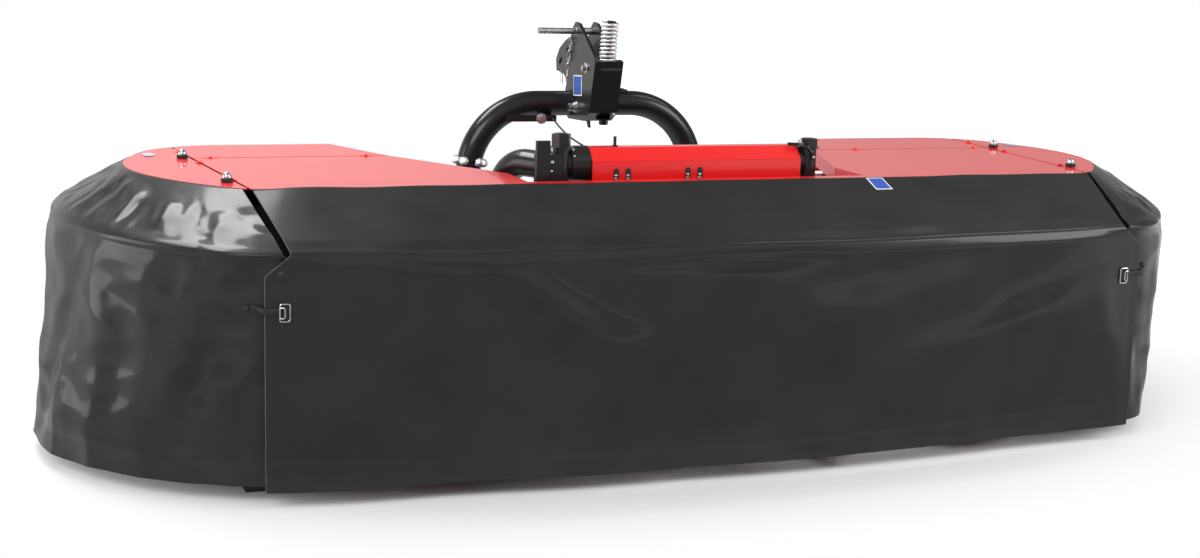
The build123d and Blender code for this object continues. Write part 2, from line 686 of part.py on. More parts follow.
def carrier(side):
    """Elbow tube from the bracket down to the cutterbar, with its arms and post."""
    path = FilletPolyline(*carrier_bends(side), radius=ELBOW_BEND[side])
    middle = ARM_Z + ARM_SIZE / 2
    half = ARM_SIZE / 2

    def tubes(inset, post_foot):
        """The tubes' outer shape, or with an inset what is inside them."""
        half = ARM_SIZE / 2 - inset
        ring = Plane(origin=path @ 0, z_dir=path % 0) * Circle(TUBE_R - inset)
        x_end = END_POST_X + half
        arm = block(LEG_X, x_end, LEG_Y - half, LEG_Y + half, middle - half, middle + half)
        post = block(END_POST_X - half, x_end, LEG_Y - half, LEG_Y + half, post_foot, middle)
        return sweep(ring, path=path) + arm + post

    foot = block(LEG_X - 70, LEG_X + 70, DISC_Y + BAR_W / 2, LEG_Y + 70, FOOT_Z, LEG_BOTTOM)
    end_foot = block(BAR_END_X, SWATH_X, DISC_Y - 70, LEG_Y + half + 5, FOOT_Z, FOOT_Z + 20)
    lug = block(
        LINK_ARM_X + LINK_ARM_T, LEG_X - TUBE_R + WALL, LEG_Y - half, LEG_Y + half,
        LINK_ARM_Z + 5, LINK_ARM_Z + LINK_ARM_H - 5,
    )
    frame = tubes(0, FOOT_Z)
    if side == "left":
        frame = frame + block(LEG_X - 50, LEG_X + half, -90, LEG_Y + half, ARM_Z, ARM_Z + ARM_SIZE)
    frame = frame - tubes(WALL, FOOT_Z + 20) + foot + end_foot + lug
    inner = block(0, bracket_inner_x(side) - 2, -FAR_Y, FAR_Y, FOOT_Z + FOOT_T + 20, FAR_Z)
    return placed(frame - inner - bracket_block(side), side)


def link_arms():
    """Arms from the headstock's feet forward to the carrier's legs."""
    top = LINK_ARM_Z + LINK_ARM_H
    arm = block(LINK_ARM_X, LINK_ARM_X + LINK_ARM_T, LEG_Y - 30, ARCH_Y + 55, LINK_ARM_Z, top)
    arm = fillet(arm.edges().filter_by(Axis.X), 20)
    return [arm, mirror_x(arm)]


def swath_boards():
    """Boards behind the bar's ends, which turn the cut grass inwards."""
    path = [(SWATH_X, DISC_Y - 70), (SWATH_X, LEG_Y + 40), (SWATH_X - 91, LEG_Y + 300)]
    outer = [(x + 4, y + 1) for x, y in reversed(path)]
    board = prism(path + outer, 25, 320)
    return [board, mirror_x(board)]


def beam_section(inset):
    """Outline of the folded cover, in y and z."""
    half = BEAM_W / 2 - inset
    top = BEAM_TOP - inset
    fold = BEAM_TOP - BEAM_FOLD - inset / 3
    right = [(half, BEAM_BOTTOM), (half, fold), (half - BEAM_FOLD + inset / 2, top)]
    return [(BEAM_Y + y, z) for y, z in right] + [(BEAM_Y - y, z) for y, z in reversed(right)]


def cross_beam():
    """Folded red cover over the beam tube."""
    skin = side_prism(beam_section(0), BEAM_LEFT_X, BEAM_RIGHT_X)
    skin = skin - side_prism(beam_section(BEAM_T), BEAM_LEFT_X, BEAM_RIGHT_X)
    half = BEAM_W / 2 - BEAM_T
    floor = block(BEAM_LEFT_X, BEAM_RIGHT_X, BEAM_Y - half, BEAM_Y + half, BEAM_BOTTOM, BEAM_BOTTOM + BEAM_T)
    return skin + floor


def post_line(x):
    return (x, POST_Y, BEAM_BOTTOM - 160), (x, POST_Y, BEAM_TOP + 60)


def beam_tube():
    """Tube inside the cross beam, with the collar that shows at its left end."""
    radius = BEAM_H / 2 - BEAM_T - SEAT_GAP
    z = BEAM_TOP - BEAM_H / 2
    ends = (POST_LEFT_X, BEAM_Y, z), (POST_RIGHT_X, BEAM_Y, z)
    collar = (POST_LEFT_X + POST_R + 6, BEAM_Y, z), (BEAM_LEFT_X - SEAT_GAP, BEAM_Y, z)
    tube = rod(*ends, radius) + rod(*collar, radius + 7.5)
    for x in (POST_LEFT_X, POST_RIGHT_X):
        tube = tube - rod(*post_line(x), POST_R + 0.3)
    return tube - rod(*ends, radius - BEAM_TUBE_T)


def pivot_posts():
    posts = []
    left = (POST_LEFT_X, BEAM_BOTTOM - 30, POST_CAP_LEFT)
    right = (POST_RIGHT_X, BEAM_BOTTOM - 130, POST_CAP_RIGHT)
    for x, foot, (cap_foot, cap_top) in (left, right):
        cap_z = BEAM_TOP + cap_foot
        post = rod((x, POST_Y, foot), (x, POST_Y, cap_z), POST_R)
        corners = [math.radians(60 * k) for k in range(6)]
        outline = [(x + POST_CAP_R * math.cos(a), POST_Y + POST_CAP_R * math.sin(a)) for a in corners]
        posts.append(post + prism(outline, cap_z, BEAM_TOP + cap_top))
    return posts


def bracket_inner_x(side):
    return 4 + (-POST_LEFT_X if side == "left" else POST_RIGHT_X)


def bracket_block(side):
    """The block behind a bracket's face, between the post and the carrier, as on the right."""
    z = ELBOW_Z[side]
    low, high = z - TUBE_R - 24, z + TUBE_R + 1
    return block(bracket_inner_x(side), BRACKET_X, POST_Y - 30, POST_Y + 30, low, high)


def bracket_plates():
    """Brackets at the beam's ends that hold the posts; the left one has a face in front."""
    plates = []
    for side, x in (("left", -POST_LEFT_X), ("right", POST_RIGHT_X)):
        shape = bracket_block(side)
        if side == "left":
            low = ELBOW_Z[side] - TUBE_R - 24
            high = ELBOW_Z[side] + TUBE_R + 37
            shape = shape + block(*BRACKET_FACE_X, BEAM_Y - 65, BEAM_Y - 53, low, high)
        shape = shape - rod(*post_line(x), POST_R + 0.3)
        plates.append(placed(shape, side))
    return plates


# ---- headstock ------------------------------------------------------------------
def headstock_arch():
    path = FilletPolyline(
        (-ARCH_HALF, ARCH_Y, ARCH_FOOT), (-ARCH_HALF, ARCH_Y, ARCH_TOP), (ARCH_HALF, ARCH_Y, ARCH_TOP),
        (ARCH_HALF, ARCH_Y, ARCH_FOOT), radius=ARCH_BEND,
    )
    ring = Plane(origin=path @ 0, z_dir=path % 0) * (Circle(ARCH_R) - Circle(ARCH_R - ARCH_WALL))
    return sweep(ring, path=path)


def hitch_feet():
    """Plates on the arch's legs with the lower hitch pins."""
    x0 = ARCH_HALF + ARCH_R
    x1 = x0 + HITCH_T
    pin_y = ARCH_Y + LINK_PIN_SETBACK
    plate = block(x0 - 8, x1, ARCH_Y - 50, pin_y + 40, ARCH_FOOT - 10, LINK_ARM_Z + LINK_ARM_H + 20)
    leg = rod((ARCH_HALF, ARCH_Y, 0), (ARCH_HALF, ARCH_Y, ARCH_TOP), ARCH_R + RUN)
    pin = rod((x0 + 4, pin_y, LINK_PIN_Z), (x1 + LINK_PIN_LEN, pin_y, LINK_PIN_Z), LINK_PIN_R)
    foot = plate - leg + pin
    return [foot, mirror_x(foot)]


# The tower's outlines are in y and z, counted from the arch tube's axis.
def tower_prism(points, x0, x1):
    return side_prism([(ARCH_Y + y, ARCH_TOP + z) for y, z in points], x0, x1)


def through_arch():
    return rod((-HOUSING_X - 9, ARCH_Y, ARCH_TOP), (HOUSING_X + 9, ARCH_Y, ARCH_TOP), ARCH_R + RUN)


def tower_plates():
    """Upper hitch plates with their slotted rear lobes."""
    grip = ARCH_R + 12
    rear = [
        (-65, 226), (-34, 244), (-4, 248), (16, 232), (35, 204), (90, 184), (140, 159), (170, 124),
        (164, 89), (100, 84), (56, 64), (grip, -16), (-grip, -26), (-110, 44),
    ]
    left_front = [(-190, 114), (-203, 136), (-139, 179)]
    right_front = [(-156, 114), (-156, 159), (-139, 179)]
    hole_r = TOP_PIN_R + PIN_STEP + 2 * RUN
    pin_hole = rod((-90, TOP_PIN_Y, TOP_PIN_Z), (90, TOP_PIN_Y, TOP_PIN_Z), hole_r)
    plates = []
    for x0, front in ((-LUG_X - LUG_T, left_front), (LUG_X, right_front)):
        plate = tower_prism(rear + front, x0, x0 + LUG_T) - through_arch() - pin_hole
        for y, z in ((56, 162), (124, 122)):
            plate = plate - Pos(0, ARCH_Y + y, ARCH_TOP + z) * Rot(-36, 0, 0) * Box(200, 34, 13)
        plates.append(plate)
    return plates


def tower_housing():
    """Spring housing that wraps round the front of the tower."""
    low = -ARCH_R - 10
    side = [
        (-218, 141), (-198, 146), (-4, 128), (38, 50), (ARCH_R + 8, -26), (10, low), (-130, low + 6),
        (-178, -14),
    ]
    t = HOUSING_T
    hollow = [
        (-218 + t, 154), (-218 + t, 141), (-178 + t, -14 + t / 2), (-130 + t / 2, low + 6 + t),
        (-80, low + 8), (70, low + 8), (70, 154),
    ]
    shell = tower_prism(side, -HOUSING_X, HOUSING_X)
    shell = shell - tower_prism(hollow, -HOUSING_X + t, HOUSING_X - t) - through_arch()
    seat = block(
        -LUG_X + 0.5, HOUSING_X - t, ARCH_Y - 218 + t, ARCH_Y - 159, SPRING_Z - 8, SPRING_Z
    )
    return shell + seat


def top_pin():
    """Upper hitch pin, long on the left, with a shoulder on the right."""
    x1 = LUG_X + LUG_T
    free_end = rod((TOP_PIN_LEFT, TOP_PIN_Y, TOP_PIN_Z), (-x1, TOP_PIN_Y, TOP_PIN_Z), TOP_PIN_R)
    journal = rod((-x1, TOP_PIN_Y, TOP_PIN_Z), (x1 + 18, TOP_PIN_Y, TOP_PIN_Z), TOP_PIN_R + PIN_STEP)
    shoulder = rod((x1, TOP_PIN_Y, TOP_PIN_Z), (x1 + 6, TOP_PIN_Y, TOP_PIN_Z), TOP_PIN_R + 5.5)
    return free_end + journal + shoulder


def tower_spring():
    """Compression spring, as the sleeve that its coils fill; it leans a little."""
    low = (SPRING_X, SPRING_Y, SPRING_Z - 5)
    high = (SPRING_X + 6, SPRING_Y + 2, SPRING_Z + SPRING_H)
    floor = block(-60, 60, SPRING_Y - 60, SPRING_Y + 60, SPRING_Z - 40, SPRING_Z)
    return rod(low, high, SPRING_R) - floor


def arch_lug():
    """Flat bar in front of the arch's left shoulder, on a pad under the tube."""
    z = ARCH_TOP - ARCH_R
    front = ARCH_Y - ARCH_R - 26
    bar = block(-262, -108, front, front + 22, z - 12, z + 6)
    pad = block(-150, -108, front, ARCH_Y + 6, z - 10, z)
    return bar + pad


def lift_rope():
    """Thin rope from the lug to the beam's collar."""
    start = (-121, ARCH_Y - 66.5, ARCH_TOP - 40)
    end = (-285, BEAM_Y + 20, BEAM_TOP + 2)
    via = (-204, (start[1] + end[1]) / 2, min(start[2], end[2]) - 6)
    return arc_tube(start, via, end, 2.5)


# ---- all pieces -----------------------------------------------------------------
def pieces():
    table = {
        "cutterbar": cutterbar(),
        "bar_skids": bar_skids(),
        "disc_bearings": disc_bearings(),
        "drive_column": drive_column(),
        "gearbox": gearbox(),
        "input_shaft": input_shaft(),
        "link_arms": link_arms(),
        "swath_boards": swath_boards(),
        "cross_beam": cross_beam(),
        "beam_tube": beam_tube(),
        "pivot_posts": pivot_posts(),
        "bracket_plates": bracket_plates(),
        "headstock_arch": headstock_arch(),
        "hitch_feet": hitch_feet(),
        "tower_plates": tower_plates(),
        "tower_housing": tower_housing(),
        "top_pin": top_pin(),
        "tower_spring": tower_spring(),
        "arch_lug": arch_lug(),
        "lift_rope": lift_rope(),
        "front_cover": front_cover(),
        "front_curtain": front_curtain(),
        "front_frame": front_frame(),
        "rear_curtains": rear_curtains(),
    }
    for i in range(DISC_COUNT):
        table[f"disc_{i + 1}"] = disc(i)
        table[f"knives_{i + 1}"] = knives(i)
    for side in SIDES:
        table[f"carrier_{side}"] = carrier(side)
        table[f"guard_frame_{side}"] = guard_frame(side)
        table[f"rear_cover_{side}"] = rear_cover(side)
        table[f"side_cap_{side}"] = side_cap(side)
        table[f"side_curtain_{side}"] = side_curtain(side)
        table[f"side_frame_{side}"] = side_frame(side)
    return table


os.makedirs("parts", exist_ok=True)
for node, shape in pieces().items():
    if isinstance(shape, list):
        shape = Compound(children=[solid for item in shape for solid in item.solids()])
    export_step(shape, f"parts/{node}.step")
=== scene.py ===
"""Looks of a front-mounted disc mower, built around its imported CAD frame."""
import json
import math

import bpy
import numpy as np
from mathutils import Matrix, Vector
from mathutils.bvhtree import BVHTree


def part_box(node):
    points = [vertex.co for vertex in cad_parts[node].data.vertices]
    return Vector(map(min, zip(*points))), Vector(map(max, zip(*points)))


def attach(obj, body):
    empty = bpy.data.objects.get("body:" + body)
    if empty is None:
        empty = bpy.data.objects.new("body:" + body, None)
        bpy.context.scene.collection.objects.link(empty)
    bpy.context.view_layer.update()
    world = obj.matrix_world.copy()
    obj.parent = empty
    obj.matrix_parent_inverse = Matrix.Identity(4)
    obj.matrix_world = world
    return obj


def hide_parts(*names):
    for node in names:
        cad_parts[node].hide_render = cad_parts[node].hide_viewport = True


bl_info = {
    "name": "Disc mower looks",
    "version": (1, 0, 0),
    "blender": (4, 5, 0),
    "location": "View3D > Sidebar > Mower",
    "description": "Builds the mower's curtains, fittings and finishes around its CAD frame",
    "category": "Object",
}

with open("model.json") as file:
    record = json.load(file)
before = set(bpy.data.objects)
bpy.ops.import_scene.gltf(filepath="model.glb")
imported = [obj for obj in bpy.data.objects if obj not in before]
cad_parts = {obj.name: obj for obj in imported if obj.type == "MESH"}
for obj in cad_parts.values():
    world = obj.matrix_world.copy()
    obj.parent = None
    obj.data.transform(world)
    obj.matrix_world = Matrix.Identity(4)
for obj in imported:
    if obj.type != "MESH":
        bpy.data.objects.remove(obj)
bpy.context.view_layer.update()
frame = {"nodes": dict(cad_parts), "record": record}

# ---- places read from the frame --------------------------------------------------
COVER_LOW, COVER_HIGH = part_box("front_cover")
CURTAIN_LOW, CURTAIN_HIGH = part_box("front_curtain")
BEAM_LOW, BEAM_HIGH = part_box("cross_beam")
ARCH_LOW, ARCH_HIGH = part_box("headstock_arch")
SIDES = (("left", -1), ("right", 1))
UP, FRONT, REAR, LEFT, RIGHT = (0, 0, 1), (0, -1, 0), (0, 1, 0), (-1, 0, 0), (1, 0, 0)

# Sizes that the frame's boxes don't give: the covers' sheet, the crease's drop below
# them, and the corners of the front curtain, in x beyond the last disc and in y.
PLATE_T = 0.003
CREASE_DROP = 0.115
SPLIT_FRONT, SPLIT_REAR = 0.1345, 0.2245
NOSE_OUT, NOSE_BACK = 0.0885, 0.060

PLATE_TOP = COVER_HIGH.z
PLATE_Z = PLATE_TOP - PLATE_T
RIM_FRONT_Y = COVER_LOW.y
RIM_REAR_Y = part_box("rear_cover_right")[1].y
FRONT_Y = CURTAIN_LOW.y
HEM_Z = CURTAIN_LOW.z
FLAP_X = CURTAIN_HIGH.x
SIDE_HEM_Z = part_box("side_curtain_right")[0].z
CREASE_Z = PLATE_TOP - CREASE_DROP
DISC_X = [sum((corner.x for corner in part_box(f"disc_{i}")), 0.0) / 2 for i in range(1, 7)]
DISC_Y = sum(corner.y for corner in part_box("disc_3")) / 2
END_X = DISC_X[-1]
SPLIT_FRONT_X, SPLIT_REAR_X = END_X + SPLIT_FRONT, END_X + SPLIT_REAR
SPLIT_SLOPE = (SPLIT_REAR_X - SPLIT_FRONT_X) / (RIM_REAR_Y - RIM_FRONT_Y)
NOSE_X, NOSE_Y = END_X + NOSE_OUT, FRONT_Y + NOSE_BACK
BEAM_Y = (BEAM_LOW.y + BEAM_HIGH.y) / 2
ARCH_Y = (ARCH_LOW.y + ARCH_HIGH.y) / 2
ARCH_R = (ARCH_HIGH.y - ARCH_LOW.y) / 2
ARCH_TOP = ARCH_HIGH.z - ARCH_R
ARCH_HALF = ARCH_HIGH.x - ARCH_R

# Arcs of a side's outlines in plan from front to rear, as (via x, via y, end x, end y)
# from each start, with x beyond the last disc.
RIM_START = (0.0825, RIM_FRONT_Y)
RIM_ARCS = [
    (0.1425, RIM_FRONT_Y + 0.018, 0.1945, RIM_FRONT_Y + 0.065),
    (0.2720, RIM_FRONT_Y + 0.167, 0.3330, RIM_FRONT_Y + 0.280),
    (0.3760, 0.085, 0.3250, RIM_REAR_Y - 0.190),
    (0.2500, RIM_REAR_Y - 0.062, 0.0825, RIM_REAR_Y),
]
CREASE_START = (NOSE_OUT, NOSE_Y)
CREASE_ARCS = [
    (0.1875, NOSE_Y + 0.028, 0.2725, NOSE_Y + 0.105),
    (0.4160, NOSE_Y + 0.288, 0.5140, NOSE_Y + 0.510),
    (0.5550, 0.095, 0.5280, RIM_REAR_Y - 0.160),
    (0.4325, RIM_REAR_Y + 0.010, 0.2525, RIM_REAR_Y + 0.055),
]
TUCK_START = (0.0745, NOSE_Y + 0.024)
TUCK_FIRST_ARC = (0.1825, NOSE_Y + 0.044, 0.2725, NOSE_Y + 0.105)


# ---- shapes ----------------------------------------------------------------------
BOLT_HEAD = 0.62       # a bolt head's height, as a share of its width across flats
BOLT_SHOULDER = 0.82   # where the head's chamfer starts, as a share of that height
BOLT_WASHER = 0.95     # its washer's radius, as a share of the width across flats
SHARP = math.radians(32)       # edges sharper than this stay sharp on fittings
CLOTH_SHARP = math.radians(60)
FRAME_SHARP = math.radians(30)


def turns(count):
    """Angles all the way round, in count equal steps."""
    return [2 * math.pi * k / count for k in range(count)]


class Shape:
    """Collects the surfaces of one piece, each with the number of its material."""

    def __init__(self):
        self.points = []
        self.faces = []
        self.material_of = []

    def add(self, points, faces, material=0):
        base = len(self.points)
        self.points += [tuple(p) for p in points]
        self.faces += [tuple(base + i for i in face) for face in faces]
        self.material_of += [material] * len(faces)

    def rings(self, rings, material=0, loop=False):
        """Skin over rings of as many points each; its ends are closed unless it loops."""
        n = len(rings[0])
        points = [p for ring in rings for p in ring]
        faces = []
        count = len(rings)
        for r in range(count if loop else count - 1):
            a, b = r * n, (r + 1) % count * n
            faces += [(a + i, a + (i + 1) % n, b + (i + 1) % n, b + i) for i in range(n)]
        if not loop:
            faces.append(tuple(reversed(range(n))))
            faces.append(tuple((count - 1) * n + i for i in range(n)))
        self.add(points, faces, material)

    def lathe(self, place, profile, material=0, segments=32, sides=0):
        """Turns (radius, height) pairs round local Z.

        A negative radius is the one from the middle to a polygon's flats.
        """
        rings = []
        for radius, height in profile:
            ring = []
            for angle in turns(segments):
                r = abs(radius)
                if radius < 0:
                    step = 2 * math.pi / sides
                    r = r / math.cos((angle % step) - step / 2)
                ring.append(place @ Vector((r * math.cos(angle), r * math.sin(angle), height)))
            rings.append(ring)
        self.rings(rings, material)

    def tube(self, path, radius, material=0, segments=10, loop=False):
        """Round bar along a list of points."""
        path = [Vector(p) for p in path]
        count = len(path)
        side = None
        rings = []
        for i, p in enumerate(path):
            before = path[i - 1] if i or loop else p
            after = path[(i + 1) % count] if i < count - 1 or loop else p
            way = (after - before).normalized()
            if side is None:
                side = way.orthogonal().normalized()
            side = (side - way * side.dot(way)).normalized()
            other = way.cross(side)
            ways = [side * math.cos(a) + other * math.sin(a) for a in turns(segments)]
            rings.append([p + way_out * radius for way_out in ways])
        self.rings(rings, material, loop)

    def slab(self, place, size, round_, material):
        """Plate with bevelled edges, centred on place."""
        hx, hy, hz = (s / 2 for s in size)
        b = min(round_, hx * 0.49, hy * 0.49, hz * 0.49)
        rings = []
        for z, inset in ((-hz, b), (-hz + b, 0), (hz - b, 0), (hz, b)):
            x, y = hx - inset, hy - inset
            corners = [
                (x - b, -y), (x, -y + b), (x, y - b), (x - b, y),
                (-x + b, y), (-x, y - b), (-x, -y + b), (-x + b, -y),
            ]
            rings.append([place @ Vector((*corner, z)) for corner in corners])
        self.rings(rings, material)

    def bolt(self, place, across, material, washer):
        """Hexagon head with its chamfer, on a washer, standing up along local Z."""
        flat = across / 2
        top = washer + across * BOLT_HEAD
        shoulder = washer + across * BOLT_HEAD * BOLT_SHOULDER
        if washer:
            wide = across * BOLT_WASHER
            self.lathe(place, [(wide, 0), (wide, washer * 0.8), (wide * 0.95, washer)], material)
        profile = [(-flat, washer), (-flat, shoulder), (flat * 0.98, top), (flat * 0.4, top)]
        self.lathe(place, profile, material, segments=36, sides=6)

    def build(self, name, materials):
        mesh = bpy.data.meshes.new(name)
        mesh.from_pydata(self.points, [], self.faces)
        mesh.polygons.foreach_set("material_index", self.material_of)
        for material in materials:
            mesh.materials.append(material)
        mesh.polygons.foreach_set("use_smooth", [True] * len(mesh.polygons))
        mesh.set_sharp_from_angle(angle=SHARP)
        mesh.validate()
        piece = bpy.data.objects.new(name, mesh)
        bpy.context.scene.collection.objects.link(piece)
        return piece


def facing(position, way, turn=0.0):
    """Placement at position whose local Z points along way."""
    rotation = Vector(way).to_track_quat("Z", "Y").to_matrix().to_4x4()
    return Matrix.Translation(Vector(position)) @ rotation @ Matrix.Rotation(turn, 4, "Z")


def arc_points(start, via, end, count):
    """Points along the circle through three points, the last one left out."""
    (ax, ay), (bx, by), (cx, cy) = start, via, end
    a, b, c = ax**2 + ay**2, bx**2 + by**2, cx**2 + cy**2
    d = 2 * (ax * (by - cy) + bx * (cy - ay) + cx * (ay - by))
    ux = (a * (by - cy) + b * (cy - ay) + c * (ay - by)) / d
    uy = (a * (cx - bx) + b * (ax - cx) + c * (bx - ax)) / d
    radius = math.hypot(ax - ux, ay - uy)
    first = math.atan2(ay - uy, ax - ux)
    sweep = math.atan2(cy - uy, cx - ux) - first
    middle = math.atan2(by - uy, bx - ux) - first
    full = 2 * math.pi
    sweep, middle = sweep % full, middle % full
    if middle > sweep:
        sweep -= full
    angles = [first + sweep * i / count for i in range(count)]
    return [(ux + radius * math.cos(a), uy + radius * math.sin(a)) for a in angles]


def outline(start, arcs, count=60):
    """Dense points of an outline in plan, right side, as an array."""
    points = []
    here = start
    for via_x, via_y, end_x, end_y in arcs:
        points += arc_points(here, (via_x, via_y), (end_x, end_y), count)
        here = (end_x, end_y)
    points.append(here)
    points = np.array(points)
    points[:, 0] += END_X
    return points


def split_x(y):
    """Hinge line of the right side guard."""
    return SPLIT_FRONT_X + (y - RIM_FRONT_Y) * SPLIT_SLOPE


def soft_step(value, low, high):
    """0 below low, 1 above high, smooth between; works on arrays."""
    k = np.clip((value - low) / (high - low), 0, 1)
    return k * k * (3 - 2 * k)


def fold(s, t, start, end, width, height):
    """Height of a soft ridge that runs from start to end on the flat cloth and fades at both."""
    (ax, ay), (bx, by) = start, end
    dx, dy = bx - ax, by - ay
    k = np.clip(((s - ax) * dx + (t - ay) * dy) / (dx * dx + dy * dy), 0, 1)
    away = np.hypot(s - ax - k * dx, t - ay - k * dy)
    fade = 0.35 + 0.65 * np.sin(np.pi * k)
    return height * fade * np.exp(-((away / width) ** 2))


def ripple(s, t, seed, size, height):
    """Smooth random hills, about size across; the same for the same seed."""
    draw = np.random.default_rng(seed)
    total = np.zeros_like(s)
    for _ in range(14):
        angle = draw.uniform(0, math.pi)
        pace = 2 * math.pi / (size * draw.uniform(0.7, 1.8))
        shift = draw.uniform(0, 2 * math.pi)
        total += np.sin((s * math.cos(angle) + t * math.sin(angle)) * pace + shift)
    return height * total / 4.0


def grid_normals(points):
    """Unit normals of a grid of points, on its right-hand side."""
    along = np.gradient(points, axis=0)
    down = np.gradient(points, axis=1)
    normals = np.cross(along, down)
    return normals / np.maximum(np.linalg.norm(normals, axis=2, keepdims=True), 1e-12)


def sheet_faces(columns, rows):
    """Faces of a closed sheet between a grid of points and the grid behind it."""
    offset = columns * rows
    index = np.arange(offset).reshape(columns, rows)
    a, b = index[:-1, :-1].ravel(), index[1:, :-1].ravel()
    c, d = index[1:, 1:].ravel(), index[:-1, 1:].ravel()
    front = np.stack([a, b, c, d], 1)
    border = np.concatenate([index[:-1, 0], index[-1, :-1], index[:0:-1, -1], index[0, :0:-1]])
    following = np.roll(border, -1)
    edge = np.stack([border, border + offset, following + offset, following], 1)
    return np.concatenate([front, front[:, ::-1] + offset, edge])


def cloth(name, points, normals, s, t, thickness):
    """Closed sheet between a grid of points and the same grid set back by its thickness."""
    inner = points - normals * thickness
    both = np.concatenate([points.reshape(-1, 3), inner.reshape(-1, 3)])
    mesh = bpy.data.meshes.new(name)
    mesh.from_pydata(both.tolist(), [], sheet_faces(*points.shape[:2]).tolist())
    mesh.materials.append(FINISH["tarpaulin"])
    flat = np.stack([s, t], 2).reshape(-1, 2)
    flat = np.concatenate([flat, flat])
    loops = np.zeros(len(mesh.loops), dtype=np.int32)
    mesh.loops.foreach_get("vertex_index", loops)
    uv = mesh.uv_layers.new(name="flat")
    uv.data.foreach_set("uv", flat[loops].ravel())
    mesh.polygons.foreach_set("use_smooth", [True] * len(mesh.polygons))
    mesh.set_sharp_from_angle(angle=CLOTH_SHARP)
    piece = bpy.data.objects.new(name, mesh)
    bpy.context.scene.collection.objects.link(piece)
    return piece


# ---- finishes --------------------------------------------------------------------
class Wiring:
    """Adds and links nodes of one tree."""

    def __init__(self, tree):
        self.tree = tree

    def node(self, kind, inputs=(), **settings):
        made = self.tree.nodes.new(kind)
        for name, value in settings.items():
            setattr(made, name, value)
        for socket, value in inputs:
            self.feed(made.inputs[socket], value)
        return made

    def feed(self, socket, value):
        if isinstance(value, bpy.types.NodeSocket):
            self.tree.links.new(value, socket)
        else:
            socket.default_value = value

    def math(self, operation, *values):
        return self.node("ShaderNodeMath", enumerate(values), operation=operation).outputs[0]

    def ramp(self, value, low, high, to_low=0.0, to_high=1.0):
        sockets = ("Value", "From Min", "From Max", "To Min", "To Max")
        inputs = zip(sockets, (value, low, high, to_low, to_high))
        return self.node("ShaderNodeMapRange", inputs, interpolation_type="SMOOTHSTEP").outputs[0]

    def noise(self, where, scale, detail=3.0, rough=0.5):
        inputs = [("Vector", where), ("Scale", scale), ("Detail", detail), ("Roughness", rough)]
        return self.node("ShaderNodeTexNoise", inputs).outputs["Fac"]

    def mix(self, share, first, second):
        made = self.node("ShaderNodeMix", data_type="RGBA")
        self.feed(made.inputs["Factor"], share)
        for socket, value in (("A", first), ("B", second)):
            colour = [s for s in made.inputs if s.name == socket and s.type == "RGBA"][0]
            self.feed(colour, value)
        return [s for s in made.outputs if s.type == "RGBA"][0]


def effect(name, inputs, outputs):
    """A new shader node group with float sockets; returns its wiring and its two ends."""
    tree = bpy.data.node_groups.new(name, "ShaderNodeTree")
    for socket, default in inputs:
        made = tree.interface.new_socket(socket, in_out="INPUT", socket_type="NodeSocketFloat")
        made.default_value = default
    for socket in outputs:
        tree.interface.new_socket(socket, in_out="OUTPUT", socket_type="NodeSocketFloat")
    wires = Wiring(tree)
    return wires, wires.node("NodeGroupInput").outputs, wires.node("NodeGroupOutput").inputs


def weave_effect():
    """Fine square grain of coated cloth, on the flat cloth's own metres."""
    knobs = [("Threads", 900.0), ("Blotch", 6.0)]
    wires, given, out = effect("Coated weave", knobs, ["Height", "Shade"])
    where = wires.node("ShaderNodeUVMap", uv_map="flat").outputs[0]
    parts = wires.node("ShaderNodeSeparateXYZ", [(0, where)]).outputs
    across = wires.math("SINE", wires.math("MULTIPLY", parts[0], given["Threads"]))
    along = wires.math("SINE", wires.math("MULTIPLY", parts[1], given["Threads"]))
    weave = wires.math("MULTIPLY", across, along)
    blotch = wires.noise(where, given["Blotch"], 4.0, 0.6)
    wires.feed(out["Height"], wires.math("MULTIPLY_ADD", blotch, 2.0, weave))
    wires.feed(out["Shade"], blotch)
    return wires.tree


def grime_effect():
    """Dust that gathers low down and in patches; Top is the height where it ends."""
    knobs = [("Top", 0.3), ("Scale", 7.0), ("Amount", 0.5)]
    wires, given, out = effect("Dust and grime", knobs, ["Mask"])
    where = wires.node("ShaderNodeTexCoord").outputs["Object"]
    height = wires.node("ShaderNodeSeparateXYZ", [(0, where)]).outputs[2]
    low = wires.ramp(height, given["Top"], 0.0)
    patch = wires.ramp(wires.noise(where, given["Scale"], 3.0, 0.5), 0.35, 0.75)
    mask = wires.math("MULTIPLY", wires.math("MULTIPLY_ADD", low, 0.8, 0.2), patch)
    wires.feed(out["Mask"], wires.math("MULTIPLY", mask, given["Amount"]))
    return wires.tree


def skin_effect():
    """Slight ripple of sprayed paint, with a slow change of shade."""
    knobs = [("Ripple", 160.0), ("Drift", 2.5)]
    wires, given, out = effect("Paint skin", knobs, ["Height", "Shade"])
    where = wires.node("ShaderNodeTexCoord").outputs["Object"]
    wires.feed(out["Height"], wires.noise(where, given["Ripple"], 2.0, 0.5))
    wires.feed(out["Shade"], wires.noise(where, given["Drift"], 3.0, 0.5))
    return wires.tree


